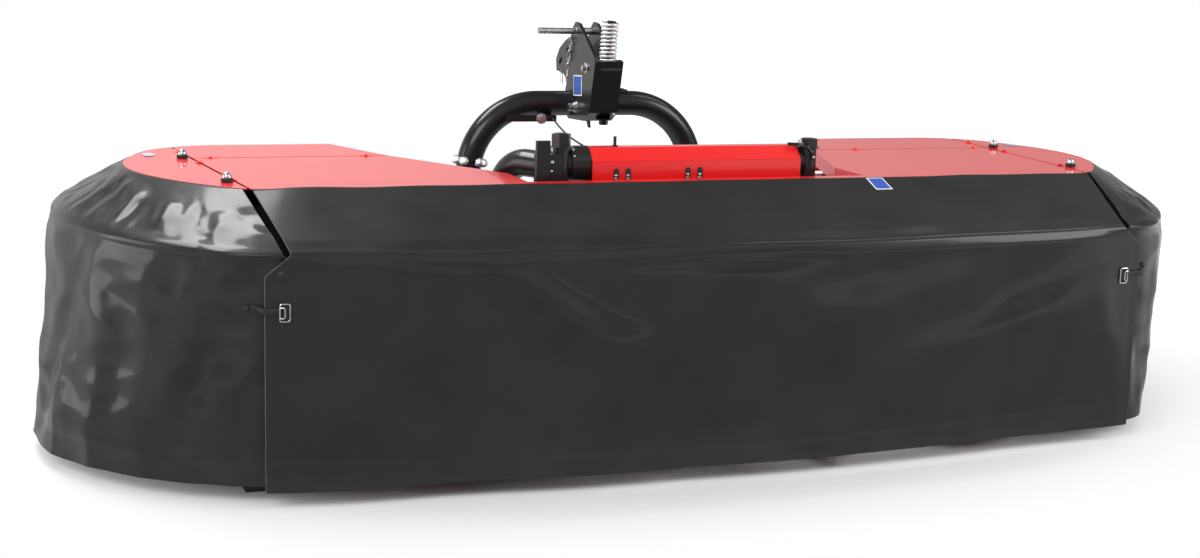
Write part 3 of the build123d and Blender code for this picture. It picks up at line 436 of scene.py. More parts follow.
def metal_effect():
    """Mottling and fine scratches of bare or plated metal."""
    knobs = [("Mottle", 90.0), ("Scratch", 400.0)]
    wires, given, out = effect("Metal mottle", knobs, ["Height", "Shade"])
    where = wires.node("ShaderNodeTexCoord").outputs["Object"]
    inputs = [("Vector", where), ("Scale", given["Mottle"])]
    cells = wires.node("ShaderNodeTexVoronoi", inputs).outputs["Distance"]
    inputs = [("Vector", where), ("Scale", (1.0, 0.15, 1.0))]
    stretched = wires.node("ShaderNodeMapping", inputs).outputs[0]
    scratch = wires.noise(stretched, given["Scratch"], 2.0, 0.7)
    shade = wires.math("MULTIPLY_ADD", cells, 0.6, wires.math("MULTIPLY", scratch, 0.4))
    wires.feed(out["Height"], scratch)
    wires.feed(out["Shade"], shade)
    return wires.tree


EFFECTS = {}


def placed_effect(wires, make, values):
    """The effect that make builds, built once, as a node in a material with its own values."""
    if make not in EFFECTS:
        EFFECTS[make] = make()
    return wires.node("ShaderNodeGroup", values, node_tree=EFFECTS[make]).outputs


def shaded(name, settings):
    """A new material: its wiring and its Principled shader, with constants set on the shader."""
    material = bpy.data.materials.new(name)
    material.use_nodes = True
    shader = material.node_tree.nodes["Principled BSDF"]
    for socket, value in settings:
        shader.inputs[socket].default_value = value
    return material, Wiring(material.node_tree), shader.inputs


def bumped(wires, shader, height, strength, depth):
    inputs = [("Height", height), ("Strength", strength), ("Distance", depth)]
    wires.feed(shader["Normal"], wires.node("ShaderNodeBump", inputs).outputs[0])


def scaled(colour, factor):
    return (*(channel * factor for channel in colour[:3]), 1.0)


DUST = (0.16, 0.145, 0.125, 1.0)


def painted(name, colour, roughness, coat, dust_top=0.3, dust=0.25, ripple=160.0, shine=0.5):
    """Sprayed steel: a clear coat over a colour that drifts a little, dusty low down."""
    settings = [("Coat Weight", coat), ("Coat Roughness", 0.035), ("Specular IOR Level", shine)]
    material, wires, shader = shaded(name, settings)
    skin = placed_effect(wires, skin_effect, [("Ripple", ripple)])
    grime = placed_effect(wires, grime_effect, [("Top", dust_top), ("Amount", dust)])
    body = wires.mix(skin["Shade"], scaled(colour, 0.9), scaled(colour, 1.08))
    wires.feed(shader["Base Color"], wires.mix(grime["Mask"], body, DUST))
    wires.feed(shader["Roughness"], wires.ramp(grime["Mask"], 0.0, 0.5, roughness, 0.75))
    bumped(wires, shader, skin["Height"], 0.05, 0.0006)
    return material


def tarpaulin(name, colour, roughness=0.34, coat=0.30):
    """Coated cloth with a fine weave, cloudy shade and a soft sheen."""
    settings = [("Coat Weight", coat), ("Coat Roughness", 0.11), ("Specular IOR Level", 0.15)]
    material, wires, shader = shaded(name, settings)
    weave = placed_effect(wires, weave_effect, [("Threads", 2600.0), ("Blotch", 5.0)])
    grime = placed_effect(wires, grime_effect, [("Top", 0.42), ("Scale", 5.0), ("Amount", 0.03)])
    body = wires.mix(weave["Shade"], scaled(colour, 0.72), scaled(colour, 1.3))
    wires.feed(shader["Base Color"], wires.mix(grime["Mask"], body, DUST))
    rough = wires.ramp(weave["Shade"], 0.25, 0.75, roughness * 0.8, roughness * 1.3)
    wires.feed(shader["Roughness"], rough)
    bumped(wires, shader, weave["Height"], 0.12, 0.0004)
    return material


def plated(name, colour, roughness, mottle=90.0, contrast=0.25):
    """Bare or zinc-plated metal."""
    material, wires, shader = shaded(name, [("Metallic", 1.0)])
    metal = placed_effect(wires, metal_effect, [("Mottle", mottle)])
    body = wires.mix(metal["Shade"], scaled(colour, 1.0 - contrast), scaled(colour, 1.0))
    wires.feed(shader["Base Color"], body)
    rough = wires.ramp(metal["Shade"], 0.1, 0.7, roughness * 0.8, roughness * 1.35)
    wires.feed(shader["Roughness"], rough)
    bumped(wires, shader, metal["Height"], 0.12, 0.0003)
    return material


def rubber(name, colour, roughness=0.6):
    material, wires, shader = shaded(name, [("Specular IOR Level", 0.4)])
    skin = placed_effect(wires, skin_effect, [("Ripple", 420.0), ("Drift", 12.0)])
    body = wires.mix(skin["Shade"], scaled(colour, 0.8), scaled(colour, 1.25))
    rough = wires.ramp(skin["Shade"], 0.2, 0.8, roughness * 0.85, roughness * 1.1)
    wires.feed(shader["Base Color"], body)
    wires.feed(shader["Roughness"], rough)
    bumped(wires, shader, skin["Height"], 0.25, 0.0005)
    return material


FINISH = {}


def finishes(colours):
    """Every finish by the name of its slot; the last ones are for small fittings."""
    red, black, cloth_grey = colours.red[:], colours.black[:], colours.tarpaulin[:]
    zinc, steel = colours.zinc[:], colours.steel[:]
    return {
        "red_paint": painted("red paint", red, 0.30, 0.5, 0.2, 0.1, 120.0),
        "black_steel": painted("black paint", black, 0.32, 0.30, 0.35, 0.15, 160.0, 0.25),
        "tarpaulin": tarpaulin("tarpaulin", cloth_grey),
        "zinc": plated("zinc plate", zinc, 0.26),
        "bare_steel": plated("turned steel", steel, 0.34, 200.0),
        "disc_steel": painted("disc paint", scaled(black, 1.4), 0.42, 0.3, 0.25, 0.5),
        "knife_steel": plated("knife steel", scaled(steel, 0.75), 0.42, 60.0, 0.5),
        "skid_steel": painted("skid paint", scaled(black, 1.5), 0.5, 0.15, 0.12, 0.8),
        "cast_housing": painted("cast housing", scaled(black, 2.0), 0.48, 0.25, 0.5, 0.3, 60.0),
        "spring": plated("spring wire", (0.92, 0.92, 0.93), 0.42, 60.0, 0.08),
        # grey of the stitches; the same finish also makes the pale tubes along the curtains' edges,
        # a painted highlight
        "thread_and_edge_highlight": rubber("grey thread and edge highlight", (0.12, 0.12, 0.125), 0.5),
        "rope": rubber("rope fibre", scaled(black, 1.6), 0.8),
        "rubber": rubber("black rubber", scaled(black, 1.3)),
        "label": painted("label blue", colours.label[:], 0.45, 0.0, 0.1, 0.05, 300.0, 0.2),
        "label_edge": painted("label white", (0.8, 0.8, 0.8), 0.5, 0.0, 0.1, 0.05, 300.0, 0.3),
        "sticker": painted("pale sticker", colours.sticker[:], 0.3, 0.6, 0.1, 0.05, 300.0),
    }


# ---- curtains --------------------------------------------------------------------
FRONT_HEM = 0.030          # held under the cover
TOP_Z = PLATE_Z - 0.0006   # outer face of the cloth below the cover
LIP = 0.003                # the cloth turns down this far outside the cover's rim
SHOULDER = 0.050           # below the crease, where the front curtain is full width
CREASE_ROUND = 0.004       # the crease's row is this far above its corner
FRONT_GAP = 0.0090         # from the split line to the front curtain
SLOPE_GAP = 0.0095         # from the split line to a side curtain
CURTAINS = {}


def rounded_rows(corners, radii, counts, round_count=6):
    """A column of points through the corners, each inner corner rounded over its length."""
    corners = [np.array(c, float) for c in corners]
    rows = [corners[0]]
    start = corners[0]
    for before, end, after, radius, count in zip(
        corners, corners[1:], corners[2:] + [None], (*radii, 0.0), counts
    ):
        way = (end - before) / np.linalg.norm(end - before)
        stop = end if after is None else end - way * radius
        rows += [start + (stop - start) * i / count for i in range(1, count + 1)]
        if after is not None:
            leave = end + (after - end) / np.linalg.norm(after - end) * radius
            for i in range(1, round_count + 1):
                f = i / round_count
                rows.append((1 - f) ** 2 * stop + 2 * f * (1 - f) * end + f * f * leave)
            start = leave
    return rows


def column_lengths(points):
    """Distance down each column from its first row."""
    steps = np.linalg.norm(np.diff(points, axis=1), axis=2)
    return np.concatenate([np.zeros((points.shape[0], 1)), np.cumsum(steps, axis=1)], axis=1)


def front_bow(x):
    """y of the front crease at x."""
    depth = NOSE_Y - FRONT_Y
    radius = (depth**2 + NOSE_X**2) / (2 * depth)
    return FRONT_Y + radius - np.sqrt(radius**2 - x**2)


def front_curtain_grid(columns=300):
    """Outer face of the front curtain, flat and taut, from under the cover to the hem."""
    held = SPLIT_FRONT_X - FRONT_GAP
    widths = (held, held, NOSE_X - FRONT_GAP, FLAP_X, FLAP_X)
    heights = (TOP_Z, TOP_Z, CREASE_Z, CREASE_Z - SHOULDER, HEM_Z)
    grid = []
    for i in range(columns):
        share = 2 * i / (columns - 1) - 1
        share -= 0.06 * math.sin(math.pi * share)  # closer columns towards both ends
        bow = float(front_bow(share * NOSE_X))
        low_bow = float(front_bow(share * FLAP_X))
        ys = (RIM_FRONT_Y + FRONT_HEM, RIM_FRONT_Y - LIP, bow, low_bow, low_bow)
        corners = [(share * w, y, z) for w, y, z in zip(widths, ys, heights)]
        grid.append(rounded_rows(corners, (0.006, 0.010, 0.004), (3, 40, 8, 74)))
    return np.array(grid)


# Soft ridges and hollows of the front panel: (x, drop) at both ends, width, height.
FRONT_FOLDS = [
    ((-0.66, 0.05), (-0.34, 0.26), 0.035, -0.010),
    ((-0.56, 0.04), (-0.20, 0.22), 0.050, 0.008),
    ((-0.95, 0.03), (-0.55, 0.055), 0.022, 0.006),
    ((-0.45, 0.045), (0.30, 0.035), 0.030, 0.006),
    ((0.10, 0.10), (0.75, 0.06), 0.060, 0.007),
    ((0.45, 0.22), (1.05, 0.07), 0.070, 0.009),
    ((0.55, 0.34), (1.10, 0.16), 0.060, -0.008),
    ((0.35, 0.50), (0.95, 0.36), 0.080, 0.009),
    ((-0.10, 0.52), (0.35, 0.24), 0.080, -0.006),
    ((-1.00, 0.20), (-0.80, 0.52), 0.070, 0.006),
    ((-0.60, 0.30), (-0.50, 0.54), 0.090, -0.006),
    ((-0.30, 0.30), (-0.15, 0.54), 0.080, 0.006),
    ((1.02, 0.10), (1.14, 0.50), 0.040, -0.005),
]
# Where the crease sags between the struts, pulled off its rail: x, width, height.
CREASE_SAGS = ((-0.72, 0.16, 0.007), (-0.38, 0.10, 0.005), (0.30, 0.22, 0.003))


def front_relief(s, t, depth):
    """How far the front curtain stands out from its taut face at x = s, t below the crease."""
    hanging = soft_step(t, 0.004, 0.05)
    ends = 1 - soft_step(np.abs(s), 0.95, 1.15) * 0.75
    hollow = soft_step(t, 0.003, 0.045) * (1 - 0.75 * soft_step(t, 0.05, 0.45))
    relief = -0.011 * hollow * ends
    for start, end, width, height in FRONT_FOLDS:
        relief += fold(s, t, start, end, width, height * depth) * hanging
    relief += ripple(s, t, 5, 0.45, 0.0035 * depth) * hanging
    relief += ripple(s, t, 8, 0.14, 0.0008 * depth) * hanging
    relief += 0.004 * depth * np.sin(s * 9.0 + 1.0) * soft_step(t, 0.25, 0.56)
    slope = 1 - soft_step(t, -0.05, 0.0)
    relief += slope * (ripple(s, t, 11, 0.30, 0.0016 * depth) - 0.0015 * depth)
    near_crease = np.exp(-(((t + 0.006) / 0.022) ** 2))
    for at, width, height in CREASE_SAGS:
        relief += height * depth * np.exp(-(((s - at) / width) ** 2)) * near_crease
    # welded edge strip along the hem and both sides
    relief += 0.0012 * soft_step(t, 0.513, 0.5145)
    relief += 0.0012 * soft_step(np.abs(s), 1.1445, 1.146) * hanging
    return relief


def relieved(points, relief):
    """The grid moved out along its normals; returns it with its new normals."""
    normals = grid_normals(points)
    moved = points + normals * relief[..., None]
    return moved, grid_normals(moved)


def flat_places(taut, column):
    """Row of the crease in that column, and each point's drop below the crease."""
    crease_row = int(np.argmin(np.abs(taut[column, :, 2] - (CREASE_Z + CREASE_ROUND))))
    down = column_lengths(taut)
    return crease_row, down - down[:, crease_row : crease_row + 1]


def hung_points(taut, relief):
    """The taut grid with its relief, left as it is where the cover holds it."""
    points, _ = relieved(taut, relief)
    under = taut[..., 2] > TOP_Z - 0.0002
    points[under] = taut[under]
    return points


def front_curtain(sizes):
    taut = front_curtain_grid()
    crease_row, t = flat_places(taut, taut.shape[0] // 2)
    s = taut[..., 0]
    relief = front_relief(s, t, sizes.wrinkle_depth)
    normals = relieved(taut, relief)[1]
    points = hung_points(taut, relief)
    piece = cloth("front_curtain_cloth", points, normals, s, t, sizes.cloth)
    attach(piece, "front_guard")
    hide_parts("front_curtain")
    CURTAINS["front"] = (piece, points, normals, crease_row)


def mirrored(points):
    """The right side's grid as the left side's, still with its outer face outwards."""
    flipped = points[::-1].copy()
    flipped[..., 0] *= -1
    return flipped


def part_of(curve, low, high, count):
    """Evenly spaced points of a dense outline between two of its parameters, 0 to 1."""
    steps = np.concatenate([[0], np.cumsum(np.linalg.norm(np.diff(curve, axis=0), axis=1))])
    where = np.linspace(low, high, count) * (len(curve) - 1)
    base = np.interp(where, np.arange(len(curve)), steps)
    even = np.linspace(base[0], base[-1], count)
    return np.stack([np.interp(even, steps, curve[:, k]) for k in (0, 1)], 1)


def crossing(curve, side_of, low, high):
    """Parameter, 0 to 1, where the dense outline passes the line side_of = 0."""
    values = [side_of(x, y) for x, y in curve]
    first, last = int(low * (len(curve) - 1)), int(high * (len(curve) - 1))
    for i in range(first, last):
        if values[i] * values[i + 1] <= 0:
            return (i + values[i] / (values[i] - values[i + 1])) / (len(curve) - 1)
    raise RuntimeError("the outline does not cross the split line")


# How far the hem stands out, at shares of the way from front to rear.
FLARE_AT = (0.0, 0.075, 0.13, 0.20, 0.28, 0.33, 0.39, 0.42, 0.50, 0.60, 0.75, 0.88, 1.0)
FLARE_BY = (0.0, -0.016, 0.0, 0.030, 0.062, 0.082, 0.102, 0.106, 0.082, 0.050, 0.022, 0.0, 0.0)
# What differs between the sides: the share of that flare, and soft folds as
# (distance from the front edge, drop) at both ends, width, height.
SIDE_LOOKS = {
    "left": {
        "flare": 1.0,
        "seed": 21,
        "folds": [
            ((0.00, 0.03), (0.03, 0.09), 0.035, -0.015),
            ((0.10, 0.08), (0.34, 0.52), 0.050, 0.010),
            ((0.22, 0.05), (0.30, 0.40), 0.040, -0.007),
            ((0.40, 0.10), (0.46, 0.44), 0.045, 0.008),
            ((0.55, 0.06), (0.50, 0.50), 0.050, -0.008),
            ((0.62, 0.10), (0.78, 0.52), 0.050, 0.012),
            ((0.95, 0.10), (0.90, 0.50), 0.070, -0.008),
            ((1.15, 0.08), (1.25, 0.50), 0.060, 0.010),
            ((0.04, 0.30), (0.10, 0.54), 0.040, -0.008),
            ((0.30, -0.17), (0.36, -0.02), 0.030, -0.006),
            ((0.46, -0.16), (0.50, -0.03), 0.028, 0.006),
            ((0.60, -0.18), (0.66, -0.02), 0.030, -0.006),
            ((0.14, -0.14), (0.20, -0.05), 0.035, -0.004),
        ],
    },
    "right": {
        "flare": -0.2,
        "seed": 34,
        "folds": [
            ((0.06, 0.05), (0.14, 0.50), 0.035, 0.010),
            ((0.18, 0.04), (0.24, 0.46), 0.035, -0.009),
            ((0.34, 0.05), (0.40, 0.54), 0.045, 0.011),
            ((0.62, 0.05), (0.60, 0.50), 0.060, -0.009),
            ((0.85, 0.06), (0.95, 0.54), 0.055, 0.010),
            ((1.20, 0.06), (1.15, 0.50), 0.060, -0.008),
            ((0.20, -0.15), (0.26, -0.02), 0.030, -0.006),
            ((0.55, -0.17), (0.60, -0.03), 0.040, 0.005),
        ],
    },
}


def side_curtain_grid(flare, columns=220):
    """Outer face of the right side curtain, taut, from under the cap to the hem."""
    rim = outline(RIM_START, RIM_ARCS)
    crease = outline(CREASE_START, CREASE_ARCS)
    tuck = outline(TUCK_START, [TUCK_FIRST_ARC] + CREASE_ARCS[1:])
    slope = (SPLIT_FRONT_X - NOSE_X) / (RIM_FRONT_Y - NOSE_Y)

    def past_front(x, y):
        return x - NOSE_X - (y - NOSE_Y) * slope - SLOPE_GAP

    rim_from = crossing(rim, lambda x, y: x - split_x(y) - SLOPE_GAP, 0.0, 0.5)
    rim_to = crossing(rim, lambda x, y: x - split_x(y) - 0.001, 0.5, 1.0)
    crease_from = crossing(crease, past_front, 0.0, 0.3)
    rims = part_of(rim, rim_from, rim_to, columns)
    creases = part_of(crease, crease_from, 1.0, columns)
    tucks = part_of(tuck, 0.0, 1.0, columns)
    ways = np.gradient(creases, axis=0)
    outward = np.stack([ways[:, 1], -ways[:, 0]], 1)
    outward /= np.linalg.norm(outward, axis=1, keepdims=True)
    middle = np.array([END_X - 0.2, 0.0])
    grid = []
    for i in range(columns):
        share = i / (columns - 1)
        inward = (middle - rims[i]) / np.linalg.norm(middle - rims[i])
        held = rims[i] + inward * FRONT_HEM
        lip = rims[i] - inward * LIP
        low = tucks[i] + outward[i] * flare * np.interp(share, FLARE_AT, FLARE_BY)
        corners = [
            (*held, TOP_Z), (*lip, TOP_Z), (*creases[i], CREASE_Z),
            (*(tucks[i] * 0.7 + creases[i] * 0.3), CREASE_Z - 0.030),
            (*low, SIDE_HEM_Z + 0.012),
        ]
        grid.append(rounded_rows(corners, (0.006, 0.009, 0.010), (3, 30, 4, 64)))
    return np.array(grid)


def side_relief(s, t, looks, depth):
    """How far a side curtain stands out at s from its front edge and t below the crease."""
    hanging = soft_step(t, 0.01, 0.06)
    slope = 1 - soft_step(t, -0.045, -0.01)
    edge = soft_step(t, -0.21, -0.15)
    free = hanging + slope * edge
    seed = looks["seed"]
    relief = np.zeros_like(s)
    for start, end, width, height in looks["folds"]:
        relief += fold(s, t, start, end, width, height * depth) * free
    relief += ripple(s, t, seed, 0.40, 0.0045 * depth) * hanging
    relief += ripple(s, t, seed + 1, 0.16, 0.0016 * depth) * hanging
    relief += ripple(s, t, seed + 2, 0.17, 0.0034 * depth) * slope * edge
    relief += ripple(s, t, seed + 3, 0.07, 0.0009 * depth) * slope * edge
    relief -= 0.006 * soft_step(t, 0.02, 0.06) * (1 - soft_step(t, 0.06, 0.25))
    relief += 0.8 * depth * np.abs(ripple(s, t, seed + 4, 0.30, 0.006)) * hanging
    relief += 0.8 * depth * np.abs(ripple(s, t, seed + 5, 0.15, 0.003)) * hanging
    kick = 0.5 + 0.5 * np.sin(s * 11.0 + seed)
    relief += 0.012 * depth * kick * soft_step(t, 0.42, 0.56) ** 2
    # the cloth's overlap below the crease and its welded hem
    relief += 0.0014 * (1 - soft_step(t, 0.026, 0.0275)) * soft_step(t, -0.002, 0.0)
    relief += 0.0012 * soft_step(t, 0.505, 0.5065)
    return relief


def side_curtain(side, sign, sizes):
    looks = SIDE_LOOKS[side]
    taut = side_curtain_grid(looks["flare"])
    crease_row, t = flat_places(taut, 10)
    steps = np.linalg.norm(np.diff(taut[:, crease_row], axis=0), axis=1)
    s = np.concatenate([[0], np.cumsum(steps)])[:, None] + np.zeros_like(t)
    points = hung_points(taut, side_relief(s, t, looks, sizes.wrinkle_depth))
    if sign < 0:
        points, s, t = mirrored(points), s[::-1], t[::-1]
    normals = grid_normals(points)
    piece = cloth(f"side_curtain_cloth_{side}", points, normals, s, t, sizes.cloth)
    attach(piece, f"{side}_side_guard")
    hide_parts(f"side_curtain_{side}")
    CURTAINS[side] = (piece, points, normals, crease_row)


REAR_CURTAIN_X = 0.818     # its inner edge
REAR_HELD = 0.08           # depth held flat behind the cover's flange


def rear_curtain(side, sign, sizes, columns=90, rows=100):
    """Short flat curtain behind a rear cover."""
    low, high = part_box("rear_curtains")
    across = np.linspace(REAR_CURTAIN_X, high.x - 0.0015, columns)
    drop = np.linspace(high.z, low.z + 0.002, rows)
    x, z = np.meshgrid(across, drop, indexing="ij")
    taut = np.stack([x, np.full_like(x, high.y - 0.0005), z], 2)[::-1]
    s, t = (x - REAR_CURTAIN_X)[::-1], (high.z - z)[::-1]
    waves = 0.006 * np.sin(s * 26.0) * soft_step(t, REAR_HELD, 0.4)
    relief = -0.002 + waves + ripple(s, t, 51, 0.2, 0.0015)
    points, _ = relieved(taut, np.where(t < REAR_HELD, -0.0015, relief))
    if sign < 0:
        points, s, t = mirrored(points), s[::-1], t[::-1]
    name = f"rear_curtain_cloth_{side}"
    piece = cloth(name, points, grid_normals(points), s, t, sizes.cloth)
    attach(piece, "machine")
    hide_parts("rear_curtains")


# ---- fittings --------------------------------------------------------------------
BOLT_TURN = 0.3            # turn of a bolt's flats, so that an edge catches the light
PATCH_SUNK = 0.0006        # depth of a patch's underside in its host
BEAD_STEP = 0.004          # along a weld bead
BEAD_UNEVEN = 0.12         # its drift, as a share of its radius


class Parts:
    """A shape whose surfaces are told apart by the names of their finishes."""

    def __init__(self, *names):
        self.names = names
        self.shape = Shape()

    def of(self, name):
        return self.names.index(name)

    def bolt(self, position, way, across, finish="zinc", washer=0.002):
        self.shape.bolt(facing(position, way, BOLT_TURN), across, self.of(finish), washer)

    def dome(self, position, way, radius, height, finish, steps=7):
        """Round domed head, closed by a tiny flat."""
        angles = [math.pi / 2 * k / (steps - 1) for k in range(steps)]
        profile = [(radius * math.cos(a), height * math.sin(a)) for a in angles]
        profile[-1] = (radius * 0.02, height)
        self.shape.lathe(facing(position, way), profile, self.of(finish), segments=28)

    def disc(self, position, way, radius, height, finish, edge=0.0006):
        low, high = edge, height - edge
        profile = [(radius - edge, 0), (radius, low), (radius, high), (radius - edge, height)]
        self.shape.lathe(facing(position, way), profile, self.of(finish))

    def tube(self, path, radius, finish, segments=10, loop=False):
        self.shape.tube(path, radius, self.of(finish), segments, loop)

    def rings(self, rings, finish):
        self.shape.rings(rings, self.of(finish))

    def link(self, centre, way, radius, wire, finish, across=1.0, along=1.0, count=28):
        """Closed loop of wire, round or oval."""
        place = facing(centre, way)
        path = []
        for a in turns(count):
            x, y = radius * across * math.cos(a), radius * along * math.sin(a)
            path.append(place @ Vector((x, y, 0)))
        self.tube(path, wire, finish, 8, loop=True)

    def bead(self, path, radius, finish, seed):
        """Weld bead: a low uneven round run."""
        draw = np.random.default_rng(seed)
        dense = []
        for a, b in zip(path[:-1], path[1:]):
            a, b = Vector(a), Vector(b)
            count = max(2, int((b - a).length / BEAD_STEP))
            dense += [a.lerp(b, i / count) for i in range(count)]
        dense.append(Vector(path[-1]))
        shift = draw.uniform(-1, 1, (len(dense), 3)) * radius * BEAD_UNEVEN
        self.tube([p + Vector(d) for p, d in zip(dense, shift)], radius, finish, 8)

    def patch(self, tree, centre, across, down, size, finish, lift, steps):
        """Thin patch that follows its host's face, lift above it; returns its middle point."""
        across, down = Vector(across).normalized(), Vector(down).normalized()
        way = down.cross(across).normalized()
        shares = [k / steps - 0.5 for k in range(steps + 1)]
        top, low = [], []
        for u, v in ((u, v) for u in shares for v in shares):
            spot = Vector(centre) + across * (u * size[0]) + down * (v * size[1])
            hit = on_host(tree, spot, way)
            top.append(hit + way * lift)
            low.append(hit - way * PATCH_SUNK)
        # across and down are a left-handed pair, so each face runs the other way round
        faces = sheet_faces(steps + 1, steps + 1)[:, [0, 3, 2, 1]]
        self.shape.add(top + low, faces.tolist(), self.of(finish))
        return on_host(tree, centre, way) + way * lift

    def made(self, name, body, slot):
        """Builds the piece and lets it ride on its body."""
        piece = self.shape.build(name, [FINISH[n] for n in self.names])
        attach(piece, body)
        return piece


def host_tree(piece):
    mesh = piece.data
    points = [v.co for v in mesh.vertices]
    return BVHTree.FromPolygons(points, [p.vertices[:] for p in mesh.polygons])


def on_host(tree, point, way, reach=0.09):
    """Point of the host's face seen from outside along way."""
    hit = tree.ray_cast(Vector(point) + Vector(way) * reach, -Vector(way), reach * 2)
    if hit[0] is None:
        raise RuntimeError(f"nothing to lie on at {tuple(point)}")
    return hit[0]


# Buckle's x beyond the front corner and the rise of the strap over the edge, per side.
STRAPS = {"left": (0.0085, 0.002), "right": (-0.009, 0.012)}
STRAP_DROP = 0.130         # below the crease
STRAP_HALF, STRAP_THICK = 0.0068, 0.0017
STRAP_SECTION = (
    (-1, -0.5), (-0.8, -1), (0.8, -1), (1, -0.5), (1, 0.5), (0.8, 1), (-0.8, 1), (-1, 0.5),
)
BUCKLE_HALF = (0.0112, 0.0200)
BUCKLE_ROUND = 0.0045
BUCKLE_WIRE = 0.0018
# Bends of the buckle's tongue from its middle, on the right side.
TONGUE = (
    (0.011, -0.0005, 0.012), (0.002, -0.003, 0.012), (0.0005, -0.0032, 0.005),
    (0.0005, -0.0032, -0.009), (0.004, -0.003, -0.0125), (0.011, -0.0005, -0.0125),
)


def guard_straps(side, sign, front, host_side):
    """Rubber strap with its wire buckle that joins the front curtain to a side curtain."""
    parts = Parts("rubber", "zinc")
    front_tree, side_tree = host_tree(front), host_tree(host_side)
    beyond, rise = STRAPS[side]
    at = Vector((sign * (NOSE_X + beyond), NOSE_Y, CREASE_Z - STRAP_DROP))
    outward, up = Vector(FRONT), Vector(UP)
    pad = (0.030, 0.034)
    middle = parts.patch(front_tree, at, RIGHT, (0, 0, -1), pad, "rubber", 0.0022, 8)
    # the strap's run to the edge and over it
    run = []
    edge_x = FLAP_X + 0.004
    strap_z = at.z + 0.004
    for share in (0.15, 0.4, 0.65, 0.9):
        x = abs(at.x) + (edge_x - 0.006 - abs(at.x)) * share
        run.append(on_host(front_tree, (sign * x, at.y, strap_z), outward) + outward * 0.0045)
    run.append(Vector((sign * edge_x, run[-1].y, strap_z)))
    for reach, lift in ((0.012, 0.0040), (0.030, 0.0030)):
        spot = (sign * (edge_x + reach), NOSE_Y, strap_z + rise * reach / 0.030)
        run.append(on_host(side_tree, spot, outward) + outward * lift)
    rings = []
    for before, p, after in zip(run[:1] + run, run, run[1:] + run[-1:]):
        way = (after - before).normalized()
        out = way.cross(up).normalized()
        out *= 1 if out.y < 0 else -1
        ring = [p + up * STRAP_HALF * a + out * STRAP_THICK * b for a, b in STRAP_SECTION]
        rings.append(ring if sign > 0 else ring[::-1])
    parts.rings(rings, "rubber")
    parts.dome(run[-1] + outward * 0.001, outward, 0.0080, 0.0060, "rubber")
    # buckle: an oblong of wire with its tongue
    centre = middle + Vector((0, -0.003, 0))
    half_x, half_z = (half - BUCKLE_ROUND for half in BUCKLE_HALF)
    path = []
    for cx, cz, start in ((1, 1, 0), (-1, 1, 90), (-1, -1, 180), (1, -1, 270)):
        for k in range(5):
            a = math.radians(start + 22.5 * k)
            x = cx * half_x + BUCKLE_ROUND * math.cos(a)
            z = cz * half_z + BUCKLE_ROUND * math.sin(a)
            path.append(centre + Vector((x, 0, z)))
    parts.tube(path, BUCKLE_WIRE, "zinc", 8, loop=True)
    parts.tube([centre + Vector((sign * x, y, z)) for x, y, z in TONGUE], BUCKLE_WIRE, "zinc", 8)
    return parts.made(f"guard_strap_{side}", "front_guard", "tarpaulin")


def stitch_row(parts, points, normals, pitch=0.009, length=0.0055, radius=0.0006):
    """Short thread stitches along a line of points, half sunk in the cloth."""
    steps = np.concatenate([[0], np.cumsum(np.linalg.norm(np.diff(points, axis=0), axis=1))])
    at = 0.004
    while at + length < steps[-1]:
        stitch = []
        for where, up in ((at, 0.0), (at + length / 2, radius * 0.9), (at + length, 0.0)):
            p = Vector([np.interp(where, steps, points[:, k]) for k in range(3)])
            n = Vector([np.interp(where, steps, normals[:, k]) for k in range(3)])
            stitch.append(p + n * (up - radius * 0.2))
        parts.tube(stitch, radius, "thread_and_edge_highlight", 5)
        at += pitch


def curtain_trim(name, curtain, body, rivets, edges=()):
    """Stitches at a curtain's crease and hem, pale tubes that paint its welded edges' highlight,
    and rivets in its grid.
    """
    _, grid, normals, crease = curtain
    parts = Parts("thread_and_edge_highlight", "zinc")
    for row in (crease - 5, grid.shape[1] - 6):
        stitch_row(parts, grid[:, row], normals[:, row])
    # pale grey tubes along the welded edges: a painted highlight of the edge catching the light
    for column in edges:
        parts.tube(grid[column, 8:], 0.0013, "thread_and_edge_highlight", 6)
    for column, row in rivets:
        point, way = Vector(grid[column, row]), Vector(normals[column, row])
        parts.disc(point - way * 0.0004, way, 0.0048, 0.0010, "zinc", 0.0003)
        parts.dome(point + way * 0.0005, way, 0.0034, 0.0026, "zinc", 5)
    return parts.made(name, body, "tarpaulin")


# Ball-headed bolts of a side cap, as y and x outside the split line.
CAP_BOLTS = ((-0.278, 0.0190), (0.196, 0.0205))
BUFFER = ((0.0144, 0), (0.0149, 0.002), (0.0147, 0.0065), (0.0135, 0.0085), (0.010, 0.0090))
# Centres of the pale ovals on the side caps: x beyond the last disc, and y.
OVALS = {"left": (0.2955, 0.278), "right": (0.3165, 0.254)}
OVAL_HALF = (0.017, 0.036)


